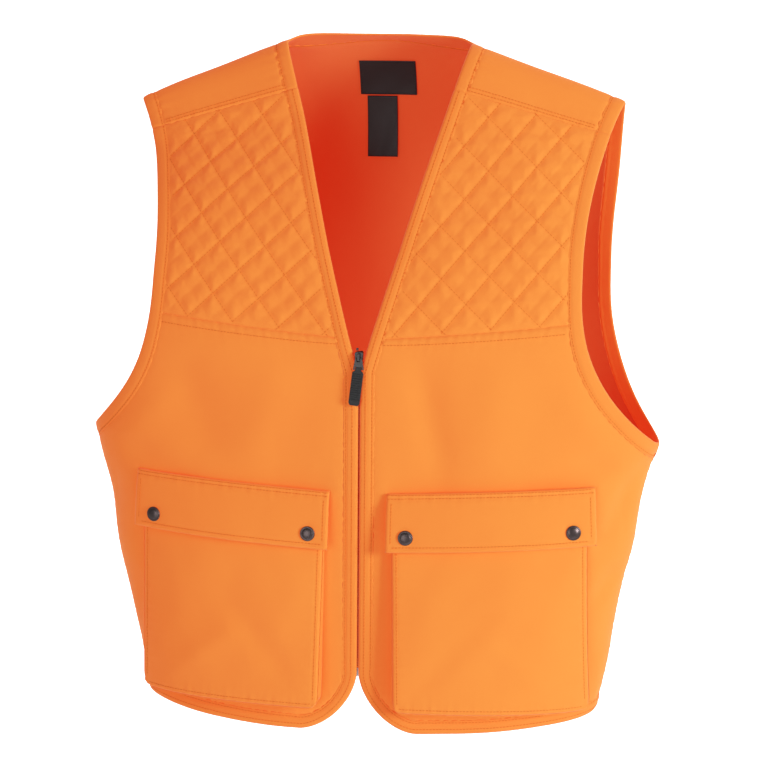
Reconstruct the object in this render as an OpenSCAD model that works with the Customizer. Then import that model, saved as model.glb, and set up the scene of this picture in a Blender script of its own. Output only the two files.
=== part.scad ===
// Sleeveless blaze orange field vest with quilted shoulders, a separating zip
// and two bellows pockets with snapped flaps. Millimetres.
// +X is the wearer's left, the front faces -Y, +Z is up. The origin lies midway
// between the two shoulder points beside the neck.
//
// Every cloth panel is laid out on one torso surface with two coordinates:
//   s  from -1 to 1 across the body, +-1 at the side seams
//   q  up the front, over the shoulder ridge at 90 and down the back

/* [Body] */
// half width of the body at the armpits
pit_w = 293; // [260:1:310]
// half width of the body at the hem
hem_w = 240; // [220:1:260]
// depth of the front from the side seams
front_d = 75; // [65:1:100]
// depth of the back from the side seams
back_d = 105; // [90:1:115]
// how far the side seams lie from the shoulder ridge, front to back
side_y = -40; // [-45:1:-20]
// height of the armpits
pit_z = -394; // [-410:1:-380]
// height where the hem width is reached
hem_z = -660; // [-680:1:-640]
// fall of the shoulders for each mm outward
shoulder_fall = 0.384; // [0.3:0.01:0.45]

/* [Edges] */
// half width of the neck at the shoulder ridge
neck_w = 95; // [85:1:100]
// bottom of the V neck
v_z = -320; // [-330:1:-300]
// half gap between the two front edges
front_gap = 2; // [2:0.5:3]
// width of the edge bindings
bind_w = 12; // [10:1:14]
// height of the chest seam at the zip
chest_z = -286; // [-295:1:-275]
// lowest point of the hem
low_z = -690; // [-695:1:-680]
// how far the shoulder tip reaches sideways
tip_w = 248; // [240:1:255]

/* [Cloth] */
// thickness of the single cloth
cloth_t = 1.4; // [1.2:0.1:1.6]
// thickness of the folded bindings
bind_t = 1.8; // [1.6:0.1:2]
// thickness of the batting inside the quilted chest
batting_t = 4; // [3:0.5:5]
// thickness of the quilt's shell and of its lining
skin_t = 0.8; // [0.6:0.1:1]

/* [Pockets] */
// inner and outer edge of the pocket, across the body
pocket_x = [34, 226]; // [20:240]
// height of the pocket mouth, behind the flap
mouth_z = -458; // [-465:1:-455]
// height of the pocket's lower edge
pocket_low_z = -664; // [-672:1:-660]
// how far the pocket stands off at its mouth
mouth_off = 6.5; // [5.5:0.5:7]
// how far the pocket stands off at its lower edge
low_off = 18; // [14:0.5:20]
// inner and outer edge of the flap
flap_x = [29, 233]; // [20:240]
// height of the flap's seam
flap_z = -436; // [-445:1:-430]
// height of the flap's free edge
flap_low_z = -494; // [-500:1:-490]
// distance of the snaps from the middle of the body
snap_x = [49, 211]; // [45:220]
// height of the snaps
snap_z = -479; // [-485:1:-475]
// diameter of the snap caps
cap_d = 15; // [14:0.5:16]

/* [Zip] */
// height of the slider's upper end with the zip closed
slider_z = -299; // [-302:1:-296]
// height of the bottom of the zip
zip_low_z = -624; // [-628:1:-620]
// half gap between the two coils
coil_gap = 1.5; // [1.4:0.1:1.8]
// pitch of the coil
coil_pitch = 3; // [2.5:0.5:4]
// length of the slider
slider_l = 10; // [9:1:12]
// length of the pull tab
tab_l = 10; // [9:1:12]
// length of the pull grip
grip_l = 37; // [30:1:40]

/* [Labels] */
// width and height of the neck label
neck_label = [60, 36]; // [30:60]
// width and height of the care label
care_label = [32, 66]; // [30:70]

/* [Hidden] */
// shape of the body's cross-section: 2 is an ellipse
round_n = 2.2;
// height where the chest starts to curve back to the shoulder
chest_top_z = -200;
// softens the ridge at the middle of the neck
ridge_c = 40;
// fall in mm for each step of q below the chest's curve
q_step = 3.5;
// q of the yoke seam, and half the play left at it
yoke_q = 49;
yoke_play = 0.15;
// s at the side seams, just short of them so both halves clear
side_s = 0.996;
// play between neighbouring pieces
play = 0.3;
ridge_top = shoulder_fall * (norm([neck_w, ridge_c]) - ridge_c);
// where the front edges and the zip lie, front to back
zip_y = side_y - front_d;
// rise of the chest seam toward the armhole
chest_rise = 17;
// height of the top edge behind the neck
neck_top_z = 9;
// rounded front corner of the hem
corner_x = 60;
corner_z = -628;
corner_n = 1.7;

// ---- torso surface ----
function spow(v, p) = sign(v) * pow(abs(v), p);
function half_w(z) = hem_w + (pit_w - hem_w) * min(1, (z - hem_z) / (pit_z - hem_z));
function ridge_z(x) = ridge_top - shoulder_fall * (norm([x, ridge_c]) - ridge_c);
function fold(q) = q <= 90 ? q : 180 - q;
function low_part(f) = min(0, f) * q_step;
// above the zip the front leans back, and the whole body with it
function lean(f) =
    let (t = min(1, max(0, (f + 28) / 88))) side_y * (1 - t * t * (3 - 2 * t));
function chest(f) = let (t = min(1, max(0, (f + 28) / 67))) 1 - 0.53 * t * t / (t + 0.06);
function across(s, z) = half_w(z) * spow(sin(90 * s), 2 / round_n);
function surf(s, q) =
    let (f = fold(q), x = across(s, chest_top_z + low_part(f)),
         z = f < 0 ? chest_top_z + low_part(f)
                   : chest_top_z + (ridge_z(x) - chest_top_z) * sin(f),
         d = spow(cos(90 * s), 2 / round_n) * (f < 0 ? 1 : cos(f)))
    [x, lean(f) + (q <= 90 ? -front_d * chest(f) : back_d) * d, z];
function normal(s, q) =
    let (h = 0.002, k = 0.2, a = q > 90 - k && q <= 90 ? 89.5 : q,
         n = cross(surf(s + h, a) - surf(s - h, a), surf(s, a + k) - surf(s, a - k)))
    n / norm(n);
// point of the cloth: p is [s, q, distance outward, rise]
function lay(p, off) =
    surf(p[0], p[1]) + normal(p[0], p[1]) * (off + (len(p) > 2 ? p[2] : 0))
    + [0, 0, len(p) > 3 ? p[3] : 0];
// surface coordinates of the front at x, z
function s_of(x, z) =
    sign(x) * min(side_s, asin(pow(min(1, abs(x) / half_w(z)), round_n / 2)) / 90);
function q_of(x, z) =
    z < chest_top_z ? (z - chest_top_z) / q_step
                    : asin(min(1, (z - chest_top_z) / (ridge_z(x) - chest_top_z)));
function front(x, z) = [s_of(x, z), q_of(x, z)];
function back(x, z) = [s_of(x, z), 180 - q_of(x, z)];
function mix(a, b, t) = a + (b - a) * t;
function ramp(n) = [for (i = [0:n]) i / n];
// steps that grow finer toward the end, for edges running into the side seam
function smooth(t) = t * t * (3 - 2 * t);
function ease(n) = [for (i = [0:n]) 1 - pow(1 - i / n, 2)];

// ---- garment edges ----
// height of the neck edge at q, and its half width there
function v_height(q) =
    chest_top_z + (q < 0 ? q * q_step : -chest_top_z * sin(q));
function v_half(z) = front_gap + (neck_w - front_gap) * max(0, 1 - z / v_z);
function v_point(q, w) =
    let (x = v_half(v_height(q)) + w)
    [asin(pow(x / half_w(v_height(q)), round_n / 2)) / 90, q];
// half width of the armhole edge at q, on the front or the back
function arm_half(q, base) =
    q > -10 ? base + (tip_w - base) * smooth(max(0, q + 5) / 95)
            : base + (pit_w - base) * pow((-q - 10) / 45.4, 2.4);
// q of the armpit, and of the binding's inner edge there
pit_q = (pit_z - chest_top_z) / q_step;
pit_in_q = pit_q - 5.2;
function arm_inner(q, base) =
    arm_half(q + min(2.6, max(0, (yoke_q - q) / 20)), base) - mix(bind_w + 1, 9, min(1, max(0, -q / 50)));
function arm_s(x, q) =
    min(side_s, asin(pow(min(1, x / half_w(chest_top_z + low_part(q))), round_n / 2)) / 90);
function arm_outer_point(q, base) = [arm_s(arm_half(q, base), q), q];
function arm_inner_point(q, base, g) = [arm_s(arm_inner(q, base) + g, q), q];
// hem line at x, the binding's inner edge lying w above it
function hem_line(x) = low_z + 16 * pow(max(0, x - corner_x) / 180, 2);
function corner(t, w) =
    [corner_x - (corner_x - front_gap - w) * pow(cos(90 * t), 2 / corner_n),
     corner_z - (corner_z - low_z - w) * pow(sin(90 * t), 2 / corner_n)];
// chest seam at share t of the way from the zip to the armhole
function chest_height(t) = mix(chest_z, chest_z + chest_rise, t);

// ---- shells ----
// a closed shell between two grids of points, outer and inner
module skin(outer_grid, inner_grid) {
    rows = len(outer_grid);
    cols = len(outer_grid[0]);
    count = rows * cols;
    top = [for (r = outer_grid) each r];
    low = [for (r = inner_grid) each r];
    mid = floor(rows / 2) * cols + floor(cols / 2);
    facing = cross(top[mid] - top[mid - 1], top[mid] - top[mid - cols])
             * (top[mid] - low[mid]) > 0;
    quads = [for (i = [0:rows - 2]) for (j = [0:cols - 2])
        [i * cols + j, i * cols + j + 1, (i + 1) * cols + j + 1, (i + 1) * cols + j]];
    loop = concat(
        [for (j = [0:cols - 1]) j],
        [for (i = [1:rows - 1]) i * cols + cols - 1],
        [for (j = [cols - 2:-1:0]) (rows - 1) * cols + j],
        [for (i = [rows - 2:-1:1]) i * cols]);
    tris = concat(
        [for (f = quads) each [[f[0], f[1], f[2]], [f[0], f[2], f[3]]]],
        [for (f = quads) each [[f[2] + count, f[1] + count, f[0] + count],
                               [f[3] + count, f[2] + count, f[0] + count]]],
        [for (i = [0:len(loop) - 1])
            let (a = loop[i], b = loop[(i + 1) % len(loop)])
            each [[a, a + count, b], [b, a + count, b + count]]]);
    polyhedron(concat(top, low), facing ? [for (t = tris) [t[2], t[1], t[0]]] : tris);
}
// the same over a grid of surface points, between two distances
module shell(g, outer, inner)
    skin([for (r = g) [for (p = r) lay(p, outer)]], [for (r = g) [for (p = r) lay(p, inner)]]);
// a grid spanning its four edges: top, bottom, inner and outer
function span(t, b, i, e) =
    let (r = len(i) - 1, c = len(t) - 1)
    [for (m = [0:r]) let (v = (e[m][1] - e[0][1]) / (e[r][1] - e[0][1])) [for (k = [0:c]) let (u = k / c)
        (1 - v) * t[k] + v * b[k] + (1 - u) * i[m] + u * e[m]
        - (1 - u) * (1 - v) * t[0] - u * (1 - v) * t[c] - (1 - u) * v * b[0] - u * v * b[c]]];
function line(a, b, n) = [for (t = ramp(n)) mix(a, b, t)];
function last(list) = list[len(list) - 1];
// the right-hand pieces are the left-hand ones mirrored
module right() mirror([1, 0, 0]) children();

// ---- front panels ----
arm_front = 215;
arm_back = 238;
chest_in_q = (chest_z - chest_top_z) / q_step;
chest_out_q = (chest_height(1) - chest_top_z) / q_step;
seam_play = 0.08;
front_top_q = yoke_q - yoke_play;

module quilt_layer(outer, inner) {
    rows = 9;
    cols = 8;
    inside = [for (t = ramp(rows))
        v_point(mix(front_top_q, chest_in_q + seam_play, t), bind_w + play)];
    outside = [for (t = ramp(rows))
        arm_inner_point(mix(front_top_q, chest_out_q + seam_play, t), arm_front, -play)];
    shell(span(line(inside[0], outside[0], cols), line(last(inside), last(outside), cols),
               inside, outside), outer, inner);
}
quilt_out = 1.5;
module quilt_shell() quilt_layer(quilt_out, quilt_out - skin_t);
module quilt_batting() quilt_layer(quilt_out - skin_t, quilt_out - skin_t - batting_t);
module quilt_lining()
    quilt_layer(quilt_out - skin_t - batting_t, quilt_out - 2 * skin_t - batting_t);

// the hem's edge from the front corner to the side seam, w inside its outer edge
function hem_run(w) = concat(
    [for (t = ramp(6)) let (c = corner(t, w)) front(c[0], c[1])],
    [for (k = [1:8]) let (x = mix(corner_x, hem_w + 4, k / 8)) front(x, hem_line(x) + w)]);
module front_panel() {
    arm_rows = 9;
    side_rows = 6;
    low = hem_run(bind_w + play);
    inside = [for (t = ramp(arm_rows + side_rows))
        v_point(mix(chest_in_q - seam_play, low[0][1], t), bind_w + play)];
    arm = [for (t = ease(arm_rows))
        arm_inner_point(mix(chest_out_q - seam_play, pit_in_q, t), arm_front, -play)];
    side = [for (k = [1:side_rows])
        [side_s, mix(pit_in_q, last(low)[1], k / side_rows)]];
    outside = concat(arm, side);
    bottom = concat([last(inside)], [for (k = [1:len(low) - 1]) low[k]]);
    shell(span(line(inside[0], outside[0], len(bottom) - 1), bottom, inside, outside),
          0, -cloth_t);
}
module front_binding() {
    v_q = (v_z - chest_top_z) / q_step;
    down = concat(line(front_top_q, v_q, 10), line(v_q - 8, (corner_z - chest_top_z) / q_step + 6, 7));
    rows = concat([for (q = down) [v_point(q, 0), v_point(q, bind_w)]],
        [for (k = [0:len(hem_run(0)) - 1]) [hem_run(0)[k], hem_run(bind_w)[k]]]);
    shell(rows, 0.2, 0.2 - bind_t);
}
module arm_binding_front()
    shell(concat(
        [for (q = line(front_top_q, chest_out_q, 9))
            [arm_outer_point(q, arm_front), arm_inner_point(q, arm_front, 0)]],
        [for (t = ease(9)) if (t > 0) [
            arm_outer_point(mix(chest_out_q, pit_q, t), arm_front),
            arm_inner_point(mix(chest_out_q, pit_in_q, t), arm_front, 0)]]), 0.2, 0.2 - bind_t);

// ---- back ----
back_top_q = yoke_q + yoke_play;
function unfold_arm(q, w_in) =
    let (f = fold(q), base = q <= 90 ? arm_front : arm_back)
    [w_in ? arm_inner_point(f, base, 0)[0] : arm_outer_point(f, base)[0], q];
// rows down the back's armhole edge: even over the shoulder blade, finer toward the armpit
seam_q = 90.2;
blade_q = 144;
function blade_rows(end_q) =
    concat(line(seam_q, blade_q, 6), [for (t = ease(11)) if (t > 0) mix(blade_q, end_q, t)]);
module arm_binding_back() {
    over = line(back_top_q, 90, 5);
    outer_q = concat(over, blade_rows(180 - pit_q));
    inner_q = concat(over, blade_rows(180 - pit_in_q));
    shell([for (k = [0:len(outer_q) - 1])
        [unfold_arm(outer_q[k], false), unfold_arm(inner_q[k], true)]], 0.2, 0.2 - bind_t);
}
// the neck edge behind the ridge: an ellipse in plan, w wide and d deep
neck_d = 33;
neck_in_d = 43;
function neck_point(a, w, d, level) =
    let (x = -w * cos(a), s = sign(x) * asin(pow(abs(x) / pit_w, round_n / 2)) / 90,
         q = 180 - acos(min(1, d * sin(a) / (back_d * spow(cos(90 * s), 2 / round_n)))))
    [s, q, 0, level * (neck_top_z - surf(s, q)[2]) * (1 - pow(abs(cos(a)), 8))];
module neck_binding() {
    up = line(back_top_q, 88, 4);
    side = [for (q = up) [v_point(q, 0), v_point(q, bind_w)]];
    shell(concat(
        [for (r = side) [[-r[0][0], r[0][1]], [-r[1][0], r[1][1]]]],
        [for (a = [0:15:180]) [neck_point(a, neck_w, neck_d, 1),
                               neck_point(a, neck_w + bind_w, neck_in_d, 0)]],
        [for (k = [len(side) - 1:-1:0]) side[k]]), 0.2, 0.2 - bind_t);
}
module yoke() {
    rows = 5;
    inside = [for (t = ramp(rows)) v_point(mix(back_top_q, 90, t), bind_w + play)];
    outside = [for (t = ramp(rows))
        arm_inner_point(mix(back_top_q, 90, t), arm_front, -play)];
    shell(span(line(inside[0], outside[0], 6), line(last(inside), last(outside), 6),
               inside, outside), 0, -cloth_t);
}
function back_hem(x) = low_z + 10 + 6 * pow(x / hem_w, 2);
module back_panel() {
    side_rows = 5;
    out_s = arm_inner_point(90, arm_back, -play)[0];
    neck_s = v_point(90, bind_w + play)[0];
    neck = [for (a = [15:15:165]) let (p = neck_point(a, neck_w + bind_w + play, neck_in_d + 0.5, 0))
        [p[0], p[1]]];
    half = [for (k = [0:3]) [mix(out_s, neck_s, k / 3), seam_q]];
    top = concat([for (p = half) [-p[0], p[1]]], neck,
                 [for (k = [3:-1:0]) half[k]]);
    cols = len(top) - 1;
    low = [for (k = [0:cols]) let (x = (hem_w + 4) * (2 * k / cols - 1))
        back(x, back_hem(x) + bind_w + play)];
    outside = concat(
        [for (q = blade_rows(180 - pit_in_q)) [arm_inner_point(fold(q), arm_back, -play)[0], q]],
        [for (k = [1:side_rows])
            [side_s, mix(180 - pit_in_q, last(low)[1], k / side_rows)]]);
    shell(span(top, low, [for (p = outside) [-p[0], p[1]]], outside), 0, -cloth_t);
}
module hem_binding_back()
    shell([for (k = [0:24]) let (x = (hem_w + 4) * (k / 12 - 1))
        [back(x, back_hem(x)), back(x, back_hem(x) + bind_w)]], 0.2, 0.2 - bind_t);

// ---- labels ----
label_x = -1.5;
label_top_z = -17.5;
care_x = -8.5;
module neck_label_tag()
    shell([for (v = ramp(3)) [for (u = ramp(6))
        back(label_x + neck_label[0] * (u - 0.5), label_top_z - neck_label[1] * v)]],
        -cloth_t - 1.3, -cloth_t - 1.8);
module care_label_tag()
    shell([for (v = ramp(4)) [for (u = ramp(3))
        back(care_x + care_label[0] * (u - 0.5),
             label_top_z - neck_label[1] - 0.6 - care_label[1] * v)]],
        -cloth_t - 2.2, -cloth_t - 2.6);

// ---- pockets and flaps ----
// pockets and flaps rise a little toward the sides, and lie closer there
tilt = 9.5;
// how much the pocket's inner edge slants
slant = 4;
function closer(u, share) = 1 - share * pow(u, 3);
function pocket_point(u, v) =
    let (x = mix(pocket_x[0] + slant * v, pocket_x[1], u),
         z = mix(mouth_z, pocket_low_z, v) + tilt * (u - 0.5) * (1 - v))
    concat(front(x, z), [mix(mouth_off, low_off, v) * closer(u, 0.3) + 2 * sin(180 * u) * sin(180 * v)]);
flap_t = 1.8;
flap_lift = 12.5;
function flap_point(u, v) =
    let (x = mix(flap_x[0], flap_x[1], u),
         z = mix(flap_z, flap_low_z, v) + tilt * (u - 0.5))
    concat(front(x, z), [2.2 + flap_lift * pow(v, 0.55) * closer(u, 0.25)]);
// a frame standing on a flap's outer face at a snap
module at_snap(x) {
    u = (x - flap_x[0]) / (flap_x[1] - flap_x[0]);
    v = (snap_z - flap_z) / (flap_low_z - flap_z);
    p = flap_point(u, v);
    o = lay([p[0], p[1], p[2]], 0);
    lean = normal(p[0], p[1]) + [0, 0, 0.085];
    z = lean / norm(lean);
    x_dir = cross([0, 0, 1], z) / norm(cross([0, 0, 1], z));
    y_dir = cross(z, x_dir);
    multmatrix([[x_dir[0], y_dir[0], z[0], o[0]], [x_dir[1], y_dir[1], z[1], o[1]],
                [x_dir[2], y_dir[2], z[2], o[2]], [0, 0, 0, 1]]) children();
}
module at_snaps() for (x = snap_x) at_snap(x) children();
post_r = 1.6;
module pocket_front()
    difference() {
        shell([for (v = ramp(9)) [for (u = ramp(10)) pocket_point(u, v)]], 0, -cloth_t);
        at_snaps() translate([0, 0, -9]) cylinder(r = post_r + 0.1, h = 8, $fn = 32);
    }
// height of the gusset's foot above the middle of the front panel
foot = 0.65;
// the pocket's outline from the mouth down, across and up, e inside its edge
function outline(e) =
    let (eu = e / (pocket_x[1] - pocket_x[0]), ev = e / (mouth_z - pocket_low_z))
    concat([for (t = ramp(9)) [eu, (1 - ev) * t]],
           [for (k = [1:9]) [mix(eu, 1 - eu, k / 10), 1 - ev]],
           [for (t = ramp(9)) [1 - eu, (1 - ev) * (1 - t)]]);
function wall_row(e, fold_in) =
    let (o = outline(e), m = outline(e + fold_in))
    [for (k = [0:len(o) - 1])
        let (p = pocket_point(o[k][0], o[k][1]), r = pocket_point(m[k][0], m[k][1]),
             h = p[2] - cloth_t - play)
        [lay([p[0], p[1], foot], 0), lay([r[0], r[1], (foot + h) / 2], 0), lay([p[0], p[1], h], 0)]];
module pocket_gusset() skin(wall_row(0.2, 3), wall_row(1.4, 3));
module flap()
    difference() {
        shell([for (v = ramp(6)) [for (u = ramp(10)) flap_point(u, v * v)]], 0, -flap_t);
        at_snaps() translate([0, 0, -3]) cylinder(r = post_r + 0.1, h = 4, $fn = 32);
    }
module snap_caps()
    at_snaps() {
        translate([0, 0, 0.3]) cylinder(d = cap_d, h = 0.9, $fn = 48);
        translate([0, 0, 1.2]) cylinder(d1 = cap_d, d2 = cap_d - 2, h = 0.7, $fn = 48);
        translate([0, 0, 1.9]) cylinder(d1 = cap_d - 2, d2 = cap_d - 7, h = 0.7, $fn = 48);
        translate([0, 0, -2.35]) cylinder(r = post_r, h = 2.65, $fn = 32);
    }
module snap_sockets()
    at_snaps() difference() {
        translate([0, 0, -4.15]) cylinder(r = 5.4, h = 1.8, $fn = 40);
        translate([0, 0, -4.25]) cylinder(r = 3.6, h = 1.4, $fn = 40);
    }
module snap_studs()
    at_snaps() {
        translate([0, 0, -4.3]) cylinder(r = 3, h = 1.2, $fn = 32);
        translate([0, 0, -4.7]) cylinder(r = 4.5, h = 0.4, $fn = 32);
        translate([0, 0, -6.8]) cylinder(r = post_r, h = 2.1, $fn = 32);
        translate([0, 0, -7.5]) cylinder(r = 4.5, h = 0.7, $fn = 32);
    }

// ---- zip ----
tape_t = 0.7;
tape_off = 0.2 - bind_t - 0.3;
coil_off = tape_off - tape_t - 0.1;
coil_t = 2;
coil_w = 2;
slider_low_z = slider_z - slider_l;
box_top_z = zip_low_z + 1.4;
module zip_tape() {
    top_q = (slider_z + 3 - chest_top_z) / q_step;
    v_q = (v_z - chest_top_z) / q_step;
    low_q = (zip_low_z - 8 - chest_top_z) / q_step;
    shell([for (q = concat(line(top_q, v_q, 3), line(v_q - 11, low_q, 6)))
        [v_point(q, -0.7), v_point(q, 13)]], tape_off, tape_off - tape_t);
}
// teeth and spine of one coil, from a top height down to the box
module zip_coil(top_z) {
    n = floor((top_z - box_top_z) / coil_pitch);
    translate([0, zip_y - coil_off, 0]) rotate([90, 0, 0])
        translate([0, 0, -coil_t]) linear_extrude(coil_t) union() {
            translate([coil_gap + coil_w - 0.8, box_top_z]) square([0.8, top_z - box_top_z]);
            for (k = [0:n - 1])
                translate([coil_gap, top_z - 0.2 - k * coil_pitch - 1.5]) square([coil_w, 1.5]);
        }
}
module zip_block(x0, x1, z0, z1, y0, y1)
    translate([x0, zip_y - y1, z0]) cube([x1 - x0, y1 - y0, z1 - z0]);
left_coil_z = slider_low_z - 2.2;
right_coil_z = slider_z + 1.2;
module zip_top_stop(z)
    zip_block(coil_gap, coil_gap + coil_w, z + 0.05, z + 1.8, coil_off - coil_t, coil_off);
module zip_end(x0, x1)
    zip_block(x0, x1, zip_low_z - 9, zip_low_z, coil_off - coil_t - 0.5, coil_off + 0.05);

// ---- slider and pull ----
plate_off = 0.7;
plate_t = 2;
pin_off = plate_off + plate_t + 1.6;
pin_z = slider_low_z + 3.4;
pin_r = 0.8;
module along_x(r, w, off, z, f)
    translate([-w / 2, zip_y - off, z]) rotate([0, 90, 0]) cylinder(r = r, h = w, $fn = f);
module slider() {
    difference() {
        union() {
            zip_block(-4.2, 4.2, slider_low_z, slider_z, plate_off, plate_off + plate_t);
            zip_block(-3.2, 3.2, slider_low_z + 0.4, slider_z - 0.4, coil_off - coil_t - 2.3,
                      coil_off - coil_t - 0.6);
            zip_block(-1, 1, slider_z - 5, slider_z - 0.4, coil_off - coil_t - 1, plate_off + 1);
            zip_block(-1.3, 1.3, pin_z - 2, pin_z + 4, plate_off + 1, pin_off + 1.8);
        }
        along_x(pin_r + 0.2, 8, pin_off, pin_z, 32);
    }
}
bar_z = pin_z - tab_l;
module pull_tab()
    difference() {
        union() {
            along_x(pin_r, 7, pin_off, pin_z, 32);
            zip_block(1.7, 3.5, bar_z + 2.8, pin_z + 0.8, pin_off - 0.8, pin_off + 0.8);
            zip_block(-3.5, -1.7, bar_z + 2.8, pin_z + 0.8, pin_off - 0.8, pin_off + 0.8);
            zip_block(-4.6, 4.6, bar_z + 2.8, pin_z - 3.4, pin_off - 0.8, pin_off + 0.8);
            zip_block(3.4, 5.2, bar_z - 1, bar_z + 5.2, pin_off - 0.8, pin_off + 0.8);
            zip_block(-5.2, -3.4, bar_z - 1, bar_z + 5.2, pin_off - 0.8, pin_off + 0.8);
            along_x(pin_r, 9, pin_off, bar_z, 32);
        }
        zip_block(-3.4, 3.4, bar_z - 2, bar_z - 0.8, pin_off - 1, pin_off + 1);
        zip_block(-3.6, 3.6, bar_z + 0.8, bar_z + 2.8, pin_off - 1, pin_off + 1);
    }
module pull_grip()
    difference() {
        union() {
            along_x(1.9, 6, pin_off, bar_z, 32);
            zip_block(-3, 3, bar_z - 4, bar_z - 1, pin_off - 1.1, pin_off + 1.1);
            zip_block(-5.6, 5.6, bar_z - grip_l, bar_z - 3, pin_off - 1.2, pin_off + 1.2);
            for (k = [1:6])
                along_x(1.9, 10.6, pin_off, bar_z - 3.4 - k * (grip_l - 5) / 7, 24);
        }
        along_x(pin_r + 0.2, 8, pin_off, bar_z, 32);
    }

orange = [0.96, 0.42, 0.1];
deep_orange = [0.9, 0.36, 0.08];
dark_metal = [0.2, 0.16, 0.15];
black = [0.05, 0.05, 0.06];
silver = [0.75, 0.75, 0.76];
white_fill = [0.93, 0.93, 0.9];

module part_back_panel() color(orange) back_panel();
module part_yoke_left() color(orange) yoke();
module part_yoke_right() color(orange) right() yoke();
module part_neck_binding_back() color(deep_orange) neck_binding();
module part_arm_binding_back_left() color(deep_orange) arm_binding_back();
module part_arm_binding_back_right() color(deep_orange) right() arm_binding_back();
module part_hem_band_back() color(deep_orange) hem_binding_back();
module part_neck_tag() color(black) neck_label_tag();
module part_care_tag() color(black) care_label_tag();
module part_front_panel_left() color(orange) front_panel();
module part_quilt_shell_left() color(orange) quilt_shell();
module part_quilt_batting_left() color(white_fill) quilt_batting();
module part_quilt_lining_left() color(orange) quilt_lining();
module part_front_binding_left() color(deep_orange) front_binding();
module part_arm_binding_front_left() color(deep_orange) arm_binding_front();
module part_zip_tape_left() color(orange) zip_tape();
module part_zip_coil_left() color(orange) zip_coil(left_coil_z);
module part_zip_top_stop_left() color(silver) zip_top_stop(left_coil_z);
module part_zip_pin_left() color(silver) zip_end(0.2, 3.2);
module part_pocket_front_left() color(orange) pocket_front();
module part_pocket_gusset_left() color(orange) pocket_gusset();
module part_snap_studs_left() color(dark_metal) snap_studs();
module part_flap_left() color(orange) flap();
module part_snap_caps_left() color(dark_metal) snap_caps();
module part_snap_sockets_left() color(dark_metal) snap_sockets();
module part_front_panel_right() color(orange) right() front_panel();
module part_quilt_shell_right() color(orange) right() quilt_shell();
module part_quilt_batting_right() color(white_fill) right() quilt_batting();
module part_quilt_lining_right() color(orange) right() quilt_lining();
module part_front_binding_right() color(deep_orange) right() front_binding();
module part_arm_binding_front_right() color(deep_orange) right() arm_binding_front();
module part_zip_tape_right() color(orange) right() zip_tape();
module part_zip_coil_right() color(orange) right() zip_coil(right_coil_z);
module part_zip_top_stop_right() color(silver) right() zip_top_stop(right_coil_z);
module part_zip_box_right() color(silver) right() zip_end(0.2, 4);
module part_pocket_front_right() color(orange) right() pocket_front();
module part_pocket_gusset_right() color(orange) right() pocket_gusset();
module part_snap_studs_right() color(dark_metal) right() snap_studs();
module part_flap_right() color(orange) right() flap();
module part_snap_caps_right() color(dark_metal) right() snap_caps();
module part_snap_sockets_right() color(dark_metal) right() snap_sockets();
module part_slider_body() color(dark_metal) slider();
module part_pull_link() color(dark_metal) pull_tab();
module part_pull_handle() color(black) pull_grip();

part_back_panel();  // back_panel
part_yoke_left();  // yoke_left
part_yoke_right();  // yoke_right
part_neck_binding_back();  // neck_binding_back
part_arm_binding_back_left();  // arm_binding_back_left
part_arm_binding_back_right();  // arm_binding_back_right
part_hem_band_back();  // hem_band_back
part_neck_tag();  // neck_tag
part_care_tag();  // care_tag
part_front_panel_left();  // front_panel_left
part_quilt_shell_left();  // quilt_shell_left
part_quilt_batting_left();  // quilt_batting_left
part_quilt_lining_left();  // quilt_lining_left
part_front_binding_left();  // front_binding_left
part_arm_binding_front_left();  // arm_binding_front_left
part_zip_tape_left();  // zip_tape_left
part_zip_coil_left();  // zip_coil_left
part_zip_top_stop_left();  // zip_top_stop_left
part_zip_pin_left();  // zip_pin_left
part_pocket_front_left();  // pocket_front_left
part_pocket_gusset_left();  // pocket_gusset_left
part_snap_studs_left();  // snap_studs_left
part_flap_left();  // flap_left
part_snap_caps_left();  // snap_caps_left
part_snap_sockets_left();  // snap_sockets_left
part_front_panel_right();  // front_panel_right
part_quilt_shell_right();  // quilt_shell_right
part_quilt_batting_right();  // quilt_batting_right
part_quilt_lining_right();  // quilt_lining_right
part_front_binding_right();  // front_binding_right
part_arm_binding_front_right();  // arm_binding_front_right
part_zip_tape_right();  // zip_tape_right
part_zip_coil_right();  // zip_coil_right
part_zip_top_stop_right();  // zip_top_stop_right
part_zip_box_right();  // zip_box_right
part_pocket_front_right();  // pocket_front_right
part_pocket_gusset_right();  // pocket_gusset_right
part_snap_studs_right();  // snap_studs_right
part_flap_right();  // flap_right
part_snap_caps_right();  // snap_caps_right
part_snap_sockets_right();  // snap_sockets_right
part_slider_body();  // slider_body
part_pull_link();  // pull_link
part_pull_handle();  // pull_handle
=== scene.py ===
import bpy, bmesh, math
import numpy as np
from mathutils import Vector, Matrix, Quaternion


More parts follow.
